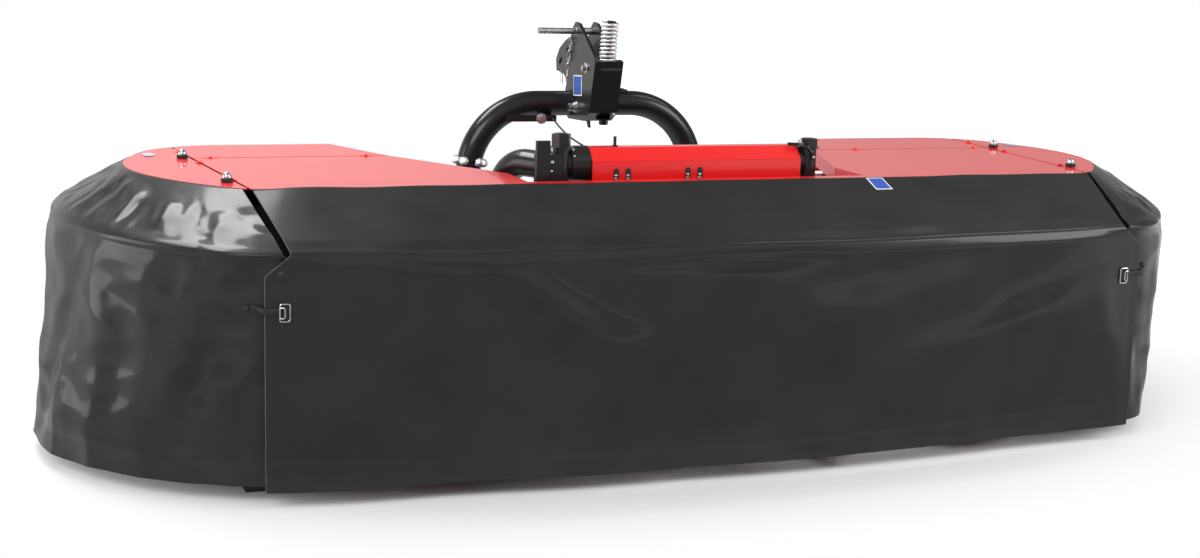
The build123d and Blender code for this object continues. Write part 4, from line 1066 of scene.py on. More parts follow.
def cap_bolts(side, sign):
    """Ball-headed bolts on round black buffers near the split line, and the cap's pale oval."""
    parts = Parts("rubber", "zinc", "sticker")
    for y, away in CAP_BOLTS:
        at = Vector((sign * (split_x(y) + away), y, PLATE_TOP - 0.0002))
        parts.shape.lathe(facing(at, UP), BUFFER, parts.of("rubber"), 36)
        parts.disc(at + Vector((0, 0, 0.0085)), UP, 0.0120, 0.0016, "zinc")
        parts.dome(at + Vector((0, 0, 0.0098)), UP, 0.0115, 0.0140, "zinc", 11)
    x, y = OVALS[side]
    oval = Vector((sign * (END_X + x), y, PLATE_TOP - 0.0003))
    half_x, half_y = OVAL_HALF
    rings = []
    for scale, z in ((1.0, 0.0), (1.0, 0.0006), (0.97, 0.0009)):
        x, y = half_x * scale, half_y * scale
        rings.append([oval + Vector((x * math.cos(a), y * math.sin(a), z)) for a in turns(36)])
    parts.rings(rings, "sticker")
    return parts.made(f"cap_bolts_{side}", f"{side}_side_guard", "zinc")


LABEL_AT = (0.482, -0.447, 0.691)
LABEL_DOWN = (0, -0.937, -0.348)
LABEL_LAYERS = (((0.049, 0.064), "label_edge", 0.0008), ((0.042, 0.056), "label", 0.0011))


def slope_label(front):
    """Blank blue plate with a pale border and its fixing dot, near the top of the front slope."""
    parts = Parts("label", "label_edge", "rubber")
    tree = host_tree(front)
    for size, finish, lift in LABEL_LAYERS:
        parts.patch(tree, LABEL_AT, RIGHT, LABEL_DOWN, size, finish, lift, 6)
    dot = on_host(tree, (0.440, -0.429, 0.698), (0, -0.3, 0.95))
    parts.dome(dot, (0, -0.35, 0.94), 0.0065, 0.0030, "rubber")
    return parts.made("slope_label", "front_guard", "tarpaulin")


BEAM_SLOTS_X = (-0.2150, -0.1820, -0.0137, 0.0207)
SLOT_Z, SLOT_HALF = 0.711, 0.0078
# Screws round the tube's collar: degrees above level, radius.
COLLAR_SCREWS = ((76, 0.0042), (57, 0.0050), (32, 0.0030))
COLLAR_SCREW_X = -0.327
# Screws between the left bracket's face and its post: x, z, radius.
BRACKET_SCREWS = ((-0.3955, 0.775, 0.0050), (-0.3935, 0.745, 0.0065), (-0.3945, 0.722, 0.0045))
LEVER = (
    (0.286, -0.288, 0.783), (0.318, -0.290, 0.781), (0.336, -0.306, 0.776),
    (0.349, -0.312, 0.757), (0.352, -0.312, 0.742),
)
STOP_PIN_X = -0.202


def beam_fittings():
    """Slotted lugs, pins and bolts of the beam, its collar and the bracket plates."""
    parts = Parts("black_steel", "zinc", "red_paint", "rubber")
    face, top = BEAM_LOW.y, BEAM_HIGH.z
    for x in BEAM_SLOTS_X:
        rings = []
        for out, inset in ((0.0014, 0.0008), (0.0010, 0.0), (-0.0004, 0.0)):
            ring = []
            half = SLOT_HALF - inset
            for a in turns(24):
                middle_z = SLOT_Z + (0.0085 if math.sin(a) > 0 else -0.0125)
                ring.append((x + half * math.cos(a), face - out, middle_z + half * math.sin(a)))
            rings.append(ring)
        parts.rings(rings, "rubber")
        parts.dome((x - 0.0018, face - 0.0012, 0.7080), FRONT, 0.0046, 0.0040, "zinc")
        parts.disc((x - 0.0012, face - 0.0012, 0.6990), FRONT, 0.0050, 0.0030, "zinc")
    # rounded fold along the beam's upper front corner
    fold_x = (BEAM_LOW.x + 0.0005, 0.0, BEAM_HIGH.x - 0.0005)
    parts.tube([(x, face + 0.0003, top - 0.0328) for x in fold_x], 0.0011, "red_paint", 12)
    parts.disc((STOP_PIN_X, BEAM_Y, top - 0.001), UP, 0.0085, 0.004, "black_steel")
    parts.disc((STOP_PIN_X, BEAM_Y, top + 0.002), UP, 0.0040, 0.024, "black_steel")
    tube_low, tube_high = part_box("beam_tube")
    collar_r = (tube_high.y - tube_low.y) / 2
    for angle, size in COLLAR_SCREWS:
        y, z = math.cos(math.radians(angle)), math.sin(math.radians(angle))
        spot = (COLLAR_SCREW_X, BEAM_Y - collar_r * y, (top - 0.044) + collar_r * z)
        parts.dome(spot, (-0.25, -y, z), size, size * 0.7, "zinc")
    for x, z, size in BRACKET_SCREWS:
        parts.dome((x, face - 0.0030, z), FRONT, size, size * 0.8, "zinc")
        parts.disc((x, face + 0.0010, z), FRONT, size * 1.15, 0.0042, "black_steel")
    # lever on the beam's right end
    parts.tube(LEVER, 0.0042, "black_steel")
    parts.dome((0.352, -0.314, 0.748), FRONT, 0.0045, 0.0035, "zinc")
    parts.bolt((0.3285, -0.281, 0.7835), UP, 0.013, "zinc", 0.003)
    return parts.made("beam_fittings", "machine", "black_steel")


def post_caps():
    """Washers under the posts' hexagon caps, and the marks on top of them."""
    parts = Parts("black_steel")
    low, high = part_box("pivot_posts")
    y, base = (low.y + high.y) / 2, BEAM_HIGH.z
    for x, foot, top in ((low.x + 0.026, 0.001, high.z - base), (high.x - 0.026, -0.007, 0.018)):
        parts.disc((x, y, base + foot), UP, 0.0285, 0.0032, "black_steel")
        parts.disc((x, y, base + top - 0.0005), UP, 0.0170, 0.0022, "black_steel")
    return parts.made("post_caps", "machine", "black_steel")


# Bolts of the left carrier's foot plate, before the arch's leg: x, z, y behind the leg.
CARRIER_BOLTS = (
    (-0.4105, 0.650, 0.012), (-0.389, 0.646, 0.002), (-0.345, 0.642, 0.002), (-0.325, 0.637, 0.012),
)


def arch_fittings(sizes):
    """Bolts, pad and weld beads of the arch and its lug."""
    parts = Parts("black_steel", "zinc")
    lug_low, lug_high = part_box("arch_lug")
    # pad on the arch right of the tower
    pad = Vector((0.122, ARCH_Y - 0.006, ARCH_TOP + ARCH_R))
    parts.shape.slab(Matrix.Translation(pad), (0.034, 0.026, 0.010), 0.003, parts.of("black_steel"))
    parts.disc(pad + Vector((0, 0, 0.004)), UP, 0.008, 0.004, "black_steel")
    # rope's eye bolt on the lug
    at = Vector((-0.156, lug_low.y, (lug_low.z + lug_high.z) / 2))
    parts.disc(at + Vector((0, 0.001, 0)), FRONT, 0.0165, 0.0040, "zinc", 0.0012)
    parts.bolt(at + Vector((0, -0.0030, 0)), FRONT, 0.019, "zinc", 0.0)
    parts.bolt(at + Vector((0.030, 0, 0.001)), FRONT, 0.010, "black_steel", 0.0015)
    foot_low, foot_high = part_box("hitch_feet")
    leg_y = ARCH_Y - ARCH_R
    for sign in (-1, 1):
        for z in (foot_high.z - 0.035, foot_high.z - 0.090, foot_low.z + 0.045):
            parts.bolt((sign * ARCH_HALF, leg_y, z), FRONT, sizes.large_bolt, "zinc", 0.002)
    for x, z, back in CARRIER_BOLTS:
        parts.bolt((x, leg_y + back, z), (-0.3, -0.9, 0.3), 0.014, "zinc", 0.002)
    # weld beads round the tower's foot on the arch
    reach = ARCH_R + 0.001
    for x in (-0.048, 0.048):
        arc = [math.radians(200 - 220 * k / 24) for k in range(25)]
        path = [(x, ARCH_Y + reach * math.cos(a), ARCH_TOP + reach * math.sin(a)) for a in arc]
        parts.bead(path, 0.0024, "black_steel", 5)
    return parts.made("arch_fittings", "machine", "black_steel")


SPRING_TURNS = 11.5
SPRING_POINTS = 368
SPRING_LEAN = 0.0035       # sideways, at each end
SPRING_CLOSED = 0.06       # share of the wire at each end whose turns lie closer
SPRING_CLOSER = 0.55       # their pitch, as a share of the others'


def lift_spring(sizes):
    """Coil spring that leans on the tower, with its end cups and the rod inside."""
    parts = Parts("spring", "black_steel")
    low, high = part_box("tower_spring")
    wire = sizes.wire / 2
    x, y = (low.x + high.x) / 2, (low.y + high.y) / 2
    start = Vector((x - SPRING_LEAN, y, low.z + wire))
    end = Vector((x + SPRING_LEAN, y + 0.001, high.z - wire - 0.003))
    radius = (high.y - low.y) / 2 - wire - 0.0006
    axis = (end - start).normalized()
    side = axis.orthogonal().normalized()
    other = axis.cross(side)
    path = []
    for k in range(SPRING_POINTS + 1):
        rise = share = k / SPRING_POINTS
        if share <= SPRING_CLOSED:
            rise = share * SPRING_CLOSER
        elif share >= 1 - SPRING_CLOSED:
            rise = 1 - (1 - share) * SPRING_CLOSER
        a = 2 * math.pi * SPRING_TURNS * share
        path.append(start.lerp(end, rise) + (side * math.cos(a) + other * math.sin(a)) * radius)
    parts.tube(path, wire, "spring", 12)
    bore = radius - wire
    cup = [(bore - 0.0010, 0), (bore - 0.0005, 0.005), (bore - 0.004, 0.0075), (0.007, 0.0080)]
    for centre, way in ((start, -axis), (end, axis)):
        parts.shape.lathe(facing(centre - way * 0.006, way), cup, parts.of("black_steel"))
    rod = [start - axis * 0.002, start.lerp(end, 0.5), end + axis * 0.002]
    parts.tube(rod, 0.0065, "black_steel", 16)
    piece = parts.made("lift_spring", "machine", "zinc")
    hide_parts("tower_spring")
    return piece


# Bolts through the tower's cheeks: side, y, z, width across flats, washer.
CHEEK_BOLTS = (
    (-1, 0.414, 0.933, 0.017, 0.0015),
    (1, 0.490, 0.809, 0.024, 0.003),
    (1, 0.414, 0.933, 0.022, 0.0025),
)
PIVOT_Y, PIVOT_Z = 0.490, 0.809
# Washers under the lower left bolt: distance out from the cheek, radius.
PIVOT_WASHERS = ((0.0, 0.0175), (0.004, 0.0150), (0.008, 0.0135))
PLATE_AT = (0.4785, 0.8755)
PLATE_LAYERS = (
    ((0.0014, 0.074, 0.062), 0.0004, "label_edge"), ((0.0014, 0.067, 0.055), 0.0008, "label"),
)
# Tongue under the housing: x, y, height from its base, half length.
HOUSING_TONGUE = (
    (-0.020, 0.452, 0.014, 0.014), (-0.020, 0.447, 0.004, 0.011), (-0.019, 0.438, -0.016, 0.004),
)
# Chain down the plate's rear edge: y, z of its links.
CHAIN = (
    (0.5645, 1.006), (0.573, 0.985), (0.577, 0.964), (0.583, 0.944),
    (0.588, 0.924), (0.590, 0.905), (0.588, 0.887), (0.584, 0.870),
)
LINCHPIN = ((0.008, 0.690, 0.918), (0.007, 0.684, 0.884), (0.007, 0.676, 0.850))


def tower_fittings():
    """Bolts, tongue, chain, linchpin and the blank plate of the tower."""
    parts = Parts("black_steel", "zinc", "label", "label_edge")
    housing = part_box("tower_housing")[0]
    cheek, base = housing.x, housing.z
    for side, y, z, across, washer in CHEEK_BOLTS:
        parts.bolt((-side * (cheek + 0.0005), y, z), (side, 0, 0), across, "zinc", washer)
    for out, radius in PIVOT_WASHERS:
        parts.disc((cheek - out + 0.0005, PIVOT_Y, PIVOT_Z), LEFT, radius, 0.0037, "zinc")
    parts.bolt((cheek - 0.0115, PIVOT_Y, PIVOT_Z), LEFT, 0.021, "zinc", 0.0)
    # blank plate with its pale border
    tilt = Matrix.Rotation(math.radians(-4), 4, "X")
    for size, lift, finish in PLATE_LAYERS:
        place = Matrix.Translation((cheek - lift, *PLATE_AT)) @ tilt
        parts.shape.slab(place, size, 0.0006, parts.of(finish))
    # tongue and the screw heads under the housing
    rings = []
    for x, y, z, half in HOUSING_TONGUE:
        corners = ((-0.003, -half), (0.003, -half), (0.003, half), (-0.003, half))
        rings.append([(x + dx, y + dy, base + z) for dx, dy in corners])
    for upper, lower in zip(rings, rings[1:]):
        parts.rings([lower, upper], "black_steel")
    parts.bolt((0.012, 0.400, base + 0.014), (0, 0, -1), 0.024, "black_steel", 0.003)
    parts.disc((0.033, 0.372, base + 0.030), (0.2, -1, 0), 0.0045, 0.003, "zinc")
    plate_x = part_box("tower_plates")[0].x
    for k, (y, z) in enumerate(CHAIN):
        way = RIGHT if k % 2 else (0, 1, 0.2)
        parts.link((plate_x - 0.0062, y, z), way, 0.0078, 0.0017, "zinc", 0.62, 1.55)
    parts.link((plate_x - 0.006, 0.583, 0.853), (1, 0.3, 0), 0.0125, 0.0015, "zinc")
    # linchpin at the plate's lobe
    parts.tube([(plate_x + x, y, z) for x, y, z in LINCHPIN], 0.0042, "zinc")
    parts.link((plate_x + 0.007, 0.688, 0.921), RIGHT, 0.011, 0.0014, "zinc")
    return parts.made("tower_fittings", "machine", "black_steel")


HUB_BOLTS_R, CONE_BOLTS_R = 0.038, 0.045
KNIFE_BOLT_R = 0.165


def disc_fittings(number):
    """Bolts of one disc's hub and its knife holders."""
    parts = Parts("zinc", "knife_steel")
    x = DISC_X[number - 1]
    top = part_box(f"disc_{number}")[1].z
    knife_low, knife_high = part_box(f"knives_{number}")
    radius = CONE_BOLTS_R if number in (1, 6) else HUB_BOLTS_R
    for a in (math.pi / 4 + math.pi / 2 * k for k in range(4)):
        spot = (x + radius * math.cos(a), DISC_Y + radius * math.sin(a), top - 0.0005)
        parts.bolt(spot, UP, 0.013, "zinc", 0.0015)
    along = knife_high.x - knife_low.x > knife_high.y - knife_low.y
    for reach in (-KNIFE_BOLT_R, KNIFE_BOLT_R):
        spot = (x + reach, DISC_Y) if along else (x, DISC_Y + reach)
        parts.bolt((*spot, knife_low.z + 0.0005), (0, 0, -1), 0.017, "knife_steel", 0.002)
    return parts.made(f"disc_bolts_{number}", f"cutting_disc_{number}", "zinc")


BAR_BOLTS = 13
GEARBOX_SEAL_Z, GEARBOX_BOLTS_R = 0.515, 0.055


def under_fittings(sizes):
    """Bolts of the cutterbar, gearbox and link arms."""
    parts = Parts("zinc", "black_steel")
    low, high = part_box("cutterbar")
    first, reach, z = low.x + 0.035, high.x - low.x - 0.07, (low.z + high.z) / 2
    for i in range(BAR_BOLTS):
        x = first + reach * i / (BAR_BOLTS - 1)
        parts.bolt((x, high.y, z), REAR, sizes.small_bolt, "zinc", 0.0015)
    low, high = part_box("gearbox")
    middle_x = (low.x + high.x) / 2
    for a in (math.radians(60 * k + 30) for k in range(6)):
        x, z = GEARBOX_BOLTS_R * math.cos(a), GEARBOX_SEAL_Z + GEARBOX_BOLTS_R * math.sin(a)
        if z > low.z + 0.012:
            parts.bolt((middle_x + x, high.y, z), REAR, sizes.small_bolt, "zinc", 0.0015)
    for x in (middle_x - 0.07, middle_x + 0.07):
        for z in (low.z + 0.035, low.z + 0.135):
            parts.bolt((x, low.y, z), FRONT, sizes.small_bolt, "black_steel", 0.0015)
    low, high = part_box("link_arms")
    for sign in (-1, 1):
        for y in (low.y + 0.025, high.y - 0.035):
            spot = (sign * high.x, y, (low.z + high.z) / 2)
            parts.bolt(spot, (sign, 0, 0), sizes.large_bolt, "zinc", 0.0025)
    return parts.made("frame_bolts", "machine", "zinc")


def cover_screws():
    """Screws along the rear flanges of the fixed covers."""
    parts = Parts("zinc")
    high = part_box("rear_cover_right")[1]
    for sign in (-1, 1):
        for x in (0.827, 0.98, high.x - 0.05):
            parts.bolt((sign * x, high.y, high.z - 0.055), REAR, 0.010, "zinc", 0.0012)
    return parts.made("cover_screws", "machine", "zinc")


SPLINES, SPLINE_POINTS = 6, 8
SPLINE_ROOT = 0.86         # radius in a groove, as a share of the stub's


def pto_stub():
    """Splined input stub in place of its plain solid."""
    parts = Parts("bare_steel")
    low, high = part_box("input_shaft")
    centre, radius, length = (low + high) / 2, (high.z - low.z) / 2, high.y - low.y
    rings = []
    for y, grooved, scale in (
        (low.y, False, 0.98), (low.y + 0.022, False, 1.0), (low.y + 0.026, True, 0.93),
        (low.y + length * 0.62, True, 0.93), (low.y + length * 0.66, False, 0.86),
        (low.y + length * 0.72, False, 0.86), (low.y + length * 0.75, True, 0.93),
        (high.y - 0.003, True, 0.93), (high.y, True, 0.85),
    ):
        ring = []
        for k, a in enumerate(turns(SPLINES * SPLINE_POINTS)):
            in_groove = grooved and k % SPLINE_POINTS < SPLINE_POINTS // 2
            r = radius * scale * (SPLINE_ROOT if in_groove else 1.0)
            ring.append((centre.x + r * math.cos(a), y, centre.z - r * math.sin(a)))
        rings.append(ring)
    parts.rings(rings, "bare_steel")
    piece = parts.made("splined_stub", "pto_input", "bare_steel")
    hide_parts("input_shaft")
    return piece


# ---- stage -----------------------------------------------------------------------
# Lamps: name, size, power, where it stands and where it points.
LIGHTS = (
    ("overhead", (1.9, 1.1), 84.0, (-1.75, 1.5, 3.25), (-1.4, 0.4, 0.0)),
    ("window", (1.4, 2.0), 30.0, (-4.4, 0.9, 1.25), (-1.2, 0.0, 0.4)),
    ("key", (3.0, 2.0), 110.0, (-3.6, -3.2, 3.4), (0.0, 0.0, 0.4)),
    ("fill", (2.5, 2.0), 100.0, (3.8, -2.6, 2.6), (0.3, 0.0, 0.4)),
    ("strip", (2.2, 0.2), 15.0, (2.4, 0.12, 3.3), (2.4, 0.12, 0.0)),
)


def area_light(name, size, power, position, aim):
    data = bpy.data.lights.new(name, "AREA")
    data.shape = "RECTANGLE"
    data.size, data.size_y = size
    data.energy = power
    lamp = bpy.data.objects.new(name, data)
    place = Matrix.Translation(Vector(position))
    way = Vector(aim) - Vector(position)
    lamp.matrix_world = place @ way.to_track_quat("-Z", "Y").to_matrix().to_4x4()
    bpy.context.scene.collection.objects.link(lamp)


FLOOR_HALF = 40.0
FLOOR_CELLS = 8            # to a side
FLOOR_OVAL = (0.56, 1.0, 1.0)
# Where the floor's reflections grow brighter to the left and right, and how much.
FLOOR_SIDES = ((-1.9, -2.8, 1.9), (1.9, 2.8, 3.0))


def floor_piece(look):
    """Wide pale floor that fades into the white surroundings."""
    shape = Shape()
    steps = [-FLOOR_HALF + 2 * FLOOR_HALF * i / FLOOR_CELLS for i in range(FLOOR_CELLS + 1)]
    n = len(steps)
    corners = [i * n + j for i in range(FLOOR_CELLS) for j in range(FLOOR_CELLS)]
    faces = [(a, a + n, a + n + 1, a + 1) for a in corners]
    shape.add([(x, y, 0.0) for x in steps for y in steps], faces)
    material, wires, shader = shaded("pale floor", [("Specular IOR Level", 0.2)])
    tree = wires.tree
    where = wires.node("ShaderNodeTexCoord").outputs["Object"]
    fine = wires.noise(where, 35.0, 4.0, 0.7)
    wide = wires.noise(where, 1.4, 3.0, 0.6)
    grey = wires.math("MULTIPLY_ADD", wide, 0.35, wires.math("MULTIPLY", fine, 0.65))
    tone = wires.mix(grey, scaled(look.floor[:], 0.9), scaled(look.floor[:], 1.04))
    wires.feed(shader["Base Color"], tone)
    wires.feed(shader["Roughness"], wires.ramp(fine, 0.3, 0.7, 0.75, 0.9))
    stretched = [(0, where), (1, FLOOR_OVAL)]
    oval = wires.node("ShaderNodeVectorMath", stretched, operation="MULTIPLY").outputs[0]
    away = wires.node("ShaderNodeVectorMath", [(0, oval)], operation="LENGTH").outputs["Value"]
    far = wires.ramp(away, look.clear_near, look.clear_far)
    path = wires.node("ShaderNodeLightPath").outputs
    sideways = wires.node("ShaderNodeSeparateXYZ", [(0, where)]).outputs[0]
    gloss = look.floor_gloss
    sides = [wires.ramp(sideways, a, b, gloss, gloss * more) for a, b, more in FLOOR_SIDES]
    strength = wires.math("MAXIMUM", path["Is Camera Ray"], wires.math("MAXIMUM", *sides))
    white = wires.node("ShaderNodeEmission", [("Color", (1, 1, 1, 1)), ("Strength", strength)])
    seen = wires.math("MAXIMUM", path["Is Camera Ray"], path["Is Glossy Ray"])
    seen = wires.math("MAXIMUM", seen, path["Is Transmission Ray"])
    both = wires.node("ShaderNodeMixShader", [("Fac", wires.math("MULTIPLY", seen, far))])
    tree.links.new(tree.nodes["Principled BSDF"].outputs[0], both.inputs[1])
    tree.links.new(white.outputs[0], both.inputs[2])
    tree.links.new(both.outputs[0], tree.nodes["Material Output"].inputs["Surface"])
    floor = shape.build("studio_floor", [material])


def surroundings(look):
    """White to the eye and a soft grey light; reflections are bright only low down at the rear."""
    world = bpy.data.worlds.new("studio")
    bpy.context.scene.world = world
    world.use_nodes = True
    tree = world.node_tree
    wires = Wiring(tree)
    way = wires.node("ShaderNodeTexCoord").outputs["Generated"]
    ways = wires.node("ShaderNodeSeparateXYZ", [(0, way)]).outputs
    rear = wires.ramp(ways[1], 0.25, 0.75)
    low = wires.ramp(ways[2], 0.55, 0.15)
    wall = wires.ramp(ways[0], 0.0, 0.7, look.gloss_low, look.gloss_low * 0.5)
    bright = wires.math("MULTIPLY", rear, low)
    front = wires.math("MULTIPLY", wires.ramp(ways[1], -0.1, -0.6), wires.ramp(ways[2], 0.0, 0.3))
    room = wires.ramp(front, 0.0, 1.0, look.gloss_high, look.gloss_front)
    gloss = wires.node("ShaderNodeMix", [("Factor", bright), ("A", room)], data_type="FLOAT")
    wires.feed(gloss.inputs["B"], wall)
    path = wires.node("ShaderNodeLightPath").outputs
    soft = wires.node("ShaderNodeMix", [("Factor", path["Is Glossy Ray"])], data_type="FLOAT")
    wires.feed(soft.inputs["A"], look.ambient)
    wires.feed(soft.inputs["B"], gloss.outputs["Result"])
    seen = wires.math("MAXIMUM", path["Is Camera Ray"], path["Is Transmission Ray"])
    final = wires.node("ShaderNodeMix", [("Factor", seen)], data_type="FLOAT")
    wires.feed(final.inputs["A"], soft.outputs["Result"])
    wires.feed(final.inputs["B"], 1.0)
    background = tree.nodes["Background"].inputs
    background["Color"].default_value = (1, 1, 1, 1)
    wires.feed(background["Strength"], final.outputs["Result"])


CAMERA_AT = (-1.78561, -4.38886, 1.27511)
CAMERA_TURNS = (20.62, 10.89, 1.73)    # yaw, pitch and roll in degrees


def place_camera():
    """Stands front left, a little above the covers, slightly rolled."""
    yaw, pitch, roll = (math.radians(turn) for turn in CAMERA_TURNS)
    flat = math.cos(pitch)
    ahead = Vector((math.sin(yaw) * flat, math.cos(yaw) * flat, -math.sin(pitch)))
    level = Vector((math.cos(yaw), -math.sin(yaw), 0))
    above = level.cross(ahead)
    right = level * math.cos(roll) + above * math.sin(roll)
    up = above * math.cos(roll) - level * math.sin(roll)
    data = bpy.data.cameras.new("camera")
    data.lens, data.sensor_width = 51.0, 36.0
    data.clip_start, data.clip_end = 0.1, 200.0
    camera = bpy.data.objects.new("camera", data)
    matrix = Matrix((right, up, -ahead)).transposed().to_4x4()
    matrix.translation = Vector(CAMERA_AT)
    camera.matrix_world = matrix
    bpy.context.scene.collection.objects.link(camera)
    bpy.context.scene.camera = camera


# ---- what a user can set ----------------------------------------------------------
def colour_setting(name, description, default):
    return bpy.props.FloatVectorProperty(
        name=name, description=description, default=default,
        subtype="COLOR", size=3, min=0.0, max=1.0,
    )


def length_setting(name, description, default, low, high):
    return bpy.props.FloatProperty(
        name=name, description=description, default=default,
        min=low, max=high, unit="LENGTH", subtype="DISTANCE",
    )


def light_setting(name, description, default):
    return bpy.props.FloatProperty(name=name, description=description, default=default, min=0.0)


class MowerColours(bpy.types.PropertyGroup):
    """Colours of the mower's finishes."""

    red: colour_setting("Red paint", "Colour of the covers and the beam", (0.80, 0.008, 0.009))
    black: colour_setting("Black paint", "Colour of the black steelwork", (0.012, 0.012, 0.013))
    tarpaulin: colour_setting("Tarpaulin", "Colour of the guard curtains", (0.0185, 0.019, 0.0195))
    zinc: colour_setting("Zinc", "Colour of plated fittings", (0.72, 0.73, 0.75))
    steel: colour_setting("Steel", "Colour of turned pins and shafts", (0.55, 0.55, 0.56))
    label: colour_setting("Blank labels", "Colour of the blank plates", (0.035, 0.10, 0.42))
    sticker: colour_setting("Pale ovals", "Colour of the ovals on the caps", (0.42, 0.58, 0.74))


class MowerSizes(bpy.types.PropertyGroup):
    """Sizes of the cloth and the fittings."""

    cloth: length_setting("Cloth thickness", "Thickness of the curtains", 0.0016, 0.0008, 0.004)
    wrinkle_depth: bpy.props.FloatProperty(
        name="Wrinkle depth", description="How deep the curtains' folds are; 1 is as built",
        default=1.0, min=0.0, max=1.5, subtype="FACTOR",
    )
    wire: length_setting("Spring wire", "Diameter of the lift spring's wire", 0.0082, 0.003, 0.010)
    small_bolt: length_setting("Small bolts", "Width across flats, M8 heads", 0.013, 0.008, 0.017)
    large_bolt: length_setting("Large bolts", "Width across flats, M12 heads", 0.019, 0.013, 0.024)


class MowerLook(bpy.types.PropertyGroup):
    """Light and surroundings."""

    floor: colour_setting("Floor", "Colour of the floor", (0.90, 0.90, 0.90))
    ambient: light_setting("Soft light", "Light from all round", 0.62)
    gloss_low: light_setting("Low reflections", "Brightness reflected from the wall behind", 0.8)
    gloss_high: light_setting("High reflections", "Brightness reflected from elsewhere", 0.14)
    gloss_front: light_setting("Front reflections", "Brightness reflected from high in front", 0.55)
    floor_gloss: light_setting("Floor reflections", "Brightness of the floor in reflections", 0.4)
    clear_near: length_setting(
        "Floor starts to fade", "Distance at which the floor starts to fade", 0.74, 0.5, 20.0
    )
    clear_far: length_setting(
        "Floor is faded", "Distance at which the floor is white", 1.25, 1.0, 40.0
    )


def settings(context):
    scene = context.scene
    return scene.mower_colours, scene.mower_sizes, scene.mower_look


def paint_lugs(mesh):
    """The hinge lugs that stand up between the covers are red like them."""
    mesh.materials.append(FINISH["red_paint"])
    for face in mesh.polygons:
        if face.center.z > PLATE_Z - 0.004:
            face.material_index = 1


class MOWER_OT_finishes(bpy.types.Operator):
    """Make the finishes and put them on the frame's parts"""

    bl_idname = "mower.finishes"
    bl_label = "Finishes"

    def execute(self, context):
        colours = settings(context)[0]
        FINISH.update(finishes(colours))
        for part in frame["record"]["subparts"]:
            node = frame["nodes"][part["node"]]
            node.data.materials.clear()
            node.data.materials.append(FINISH[part["material_slot"]])
            node.data.polygons.foreach_set("use_smooth", [True] * len(node.data.polygons))
            node.data.set_sharp_from_angle(angle=FRAME_SHARP)
            if part["node"].startswith("guard_frame"):
                paint_lugs(node.data)
        return {"FINISHED"}


class MOWER_OT_curtains(bpy.types.Operator):
    """Hang the front, side and rear curtains"""

    bl_idname = "mower.curtains"
    bl_label = "Curtains"

    def execute(self, context):
        sizes = settings(context)[1]
        front_curtain(sizes)
        for side, sign in SIDES:
            side_curtain(side, sign, sizes)
            rear_curtain(side, sign, sizes)
        return {"FINISHED"}


# Rivets of the curtains: share of the width from each end, rows below the crease.
FRONT_RIVETS = ((0.024, 2), (0.024, 4), (0.021, 5), (0.031, 4), (0.3, 4), (0.5, 4))
SIDE_RIVETS = (0.03, 0.2, 0.45, 0.7)
SIDE_RIVET_ROW = 6


class MOWER_OT_trim(bpy.types.Operator):
    """Sew the creases and hems and rivet the curtains to their rails"""

    bl_idname = "mower.trim"
    bl_label = "Stitches and rivets"

    def execute(self, context):
        front = CURTAINS["front"]
        last, crease = front[1].shape[0] - 1, front[3]
        rivets = []
        for inset, row in FRONT_RIVETS:
            rivets += [(int(last * share), crease + row) for share in (inset, 1 - inset)]
        curtain_trim("front_curtain_trim", front, "front_guard", rivets, (0, last))
        for side, sign in SIDES:
            curtain = CURTAINS[side]
            last, crease = curtain[1].shape[0] - 1, curtain[3]
            spots = [int(last * share) for share in SIDE_RIVETS]
            if sign < 0:
                spots = [last - spot for spot in spots]
            rivets = [(spot, crease + SIDE_RIVET_ROW) for spot in spots]
            curtain_trim(f"side_curtain_trim_{side}", curtain, f"{side}_side_guard", rivets)
        return {"FINISHED"}


class MOWER_OT_straps(bpy.types.Operator):
    """Fit the rubber straps and buckles, the capped bolts and the blank slope plate"""

    bl_idname = "mower.straps"
    bl_label = "Straps, capped bolts and plate"

    def execute(self, context):
        front = CURTAINS["front"][0]
        for side, sign in SIDES:
            guard_straps(side, sign, front, CURTAINS[side][0])
            cap_bolts(side, sign)
        slope_label(front)
        return {"FINISHED"}


class MOWER_OT_beam(bpy.types.Operator):
    """Fit the bolts, slots and pins of the beam and its posts"""

    bl_idname = "mower.beam"
    bl_label = "Beam fittings"

    def execute(self, context):
        beam_fittings()
        post_caps()
        return {"FINISHED"}


class MOWER_OT_arch(bpy.types.Operator):
    """Fit the bolts and welds of the arch"""

    bl_idname = "mower.arch"
    bl_label = "Arch fittings"

    def execute(self, context):
        arch_fittings(settings(context)[1])
        return {"FINISHED"}


class MOWER_OT_tower(bpy.types.Operator):
    """Fit the coil spring and the small parts of the tower"""

    bl_idname = "mower.tower"
    bl_label = "Tower fittings"

    def execute(self, context):
        lift_spring(settings(context)[1])
        tower_fittings()
        return {"FINISHED"}


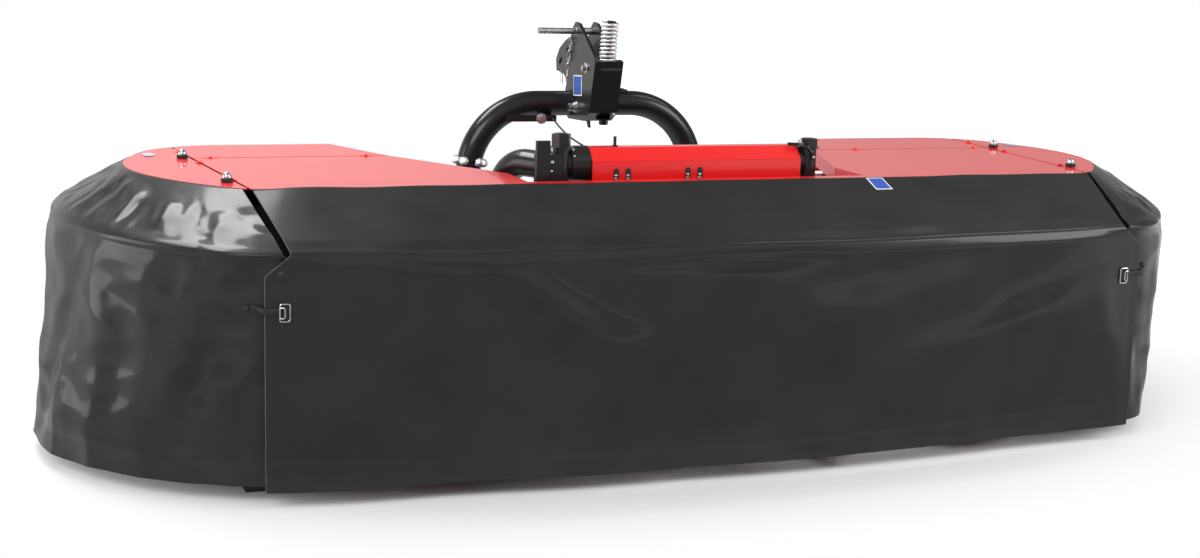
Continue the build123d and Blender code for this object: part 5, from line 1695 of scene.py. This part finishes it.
class MOWER_OT_underside(bpy.types.Operator):
    """Fit the bolts of the discs, cutterbar, gearbox and rear covers, and the splined stub"""

    bl_idname = "mower.underside"
    bl_label = "Underside fittings"

    def execute(self, context):
        for number in range(1, 7):
            disc_fittings(number)
        under_fittings(settings(context)[1])
        cover_screws()
        pto_stub()
        return {"FINISHED"}


class MOWER_OT_stage(bpy.types.Operator):
    """Set up floor, surroundings, lights and camera"""

    bl_idname = "mower.stage"
    bl_label = "Stage"

    def execute(self, context):
        look = settings(context)[2]
        floor_piece(look)
        surroundings(look)
        for lamp in LIGHTS:
            area_light(*lamp)
        place_camera()
        context.scene.view_settings.view_transform = "Standard"
        return {"FINISHED"}


STEPS = (
    MOWER_OT_finishes,
    MOWER_OT_curtains,
    MOWER_OT_trim,
    MOWER_OT_straps,
    MOWER_OT_beam,
    MOWER_OT_arch,
    MOWER_OT_tower,
    MOWER_OT_underside,
    MOWER_OT_stage,
)


class MOWER_PT_looks(bpy.types.Panel):
    """Lists the steps and their settings"""

    bl_label = "Disc mower looks"
    bl_idname = "MOWER_PT_looks"
    bl_space_type = "VIEW_3D"
    bl_region_type = "UI"
    bl_category = "Mower"

    def draw(self, context):
        for group in settings(context):
            box = self.layout.box()
            for name in group.__annotations__:
                box.prop(group, name)
        for step in STEPS:
            self.layout.operator(step.bl_idname)


GROUPS = (MowerColours, MowerSizes, MowerLook)


def register():
    for item in (*GROUPS, *STEPS, MOWER_PT_looks):
        bpy.utils.register_class(item)
    bpy.types.Scene.mower_colours = bpy.props.PointerProperty(type=MowerColours)
    bpy.types.Scene.mower_sizes = bpy.props.PointerProperty(type=MowerSizes)
    bpy.types.Scene.mower_look = bpy.props.PointerProperty(type=MowerLook)


def unregister():
    del bpy.types.Scene.mower_colours
    del bpy.types.Scene.mower_sizes
    del bpy.types.Scene.mower_look
    for item in reversed((*GROUPS, *STEPS, MOWER_PT_looks)):
        bpy.utils.unregister_class(item)


def main():
    register()
    for step in STEPS:
        group, name = step.bl_idname.split(".")
        getattr(getattr(bpy.ops, group), name)()


if __name__ == "__main__":
    main()
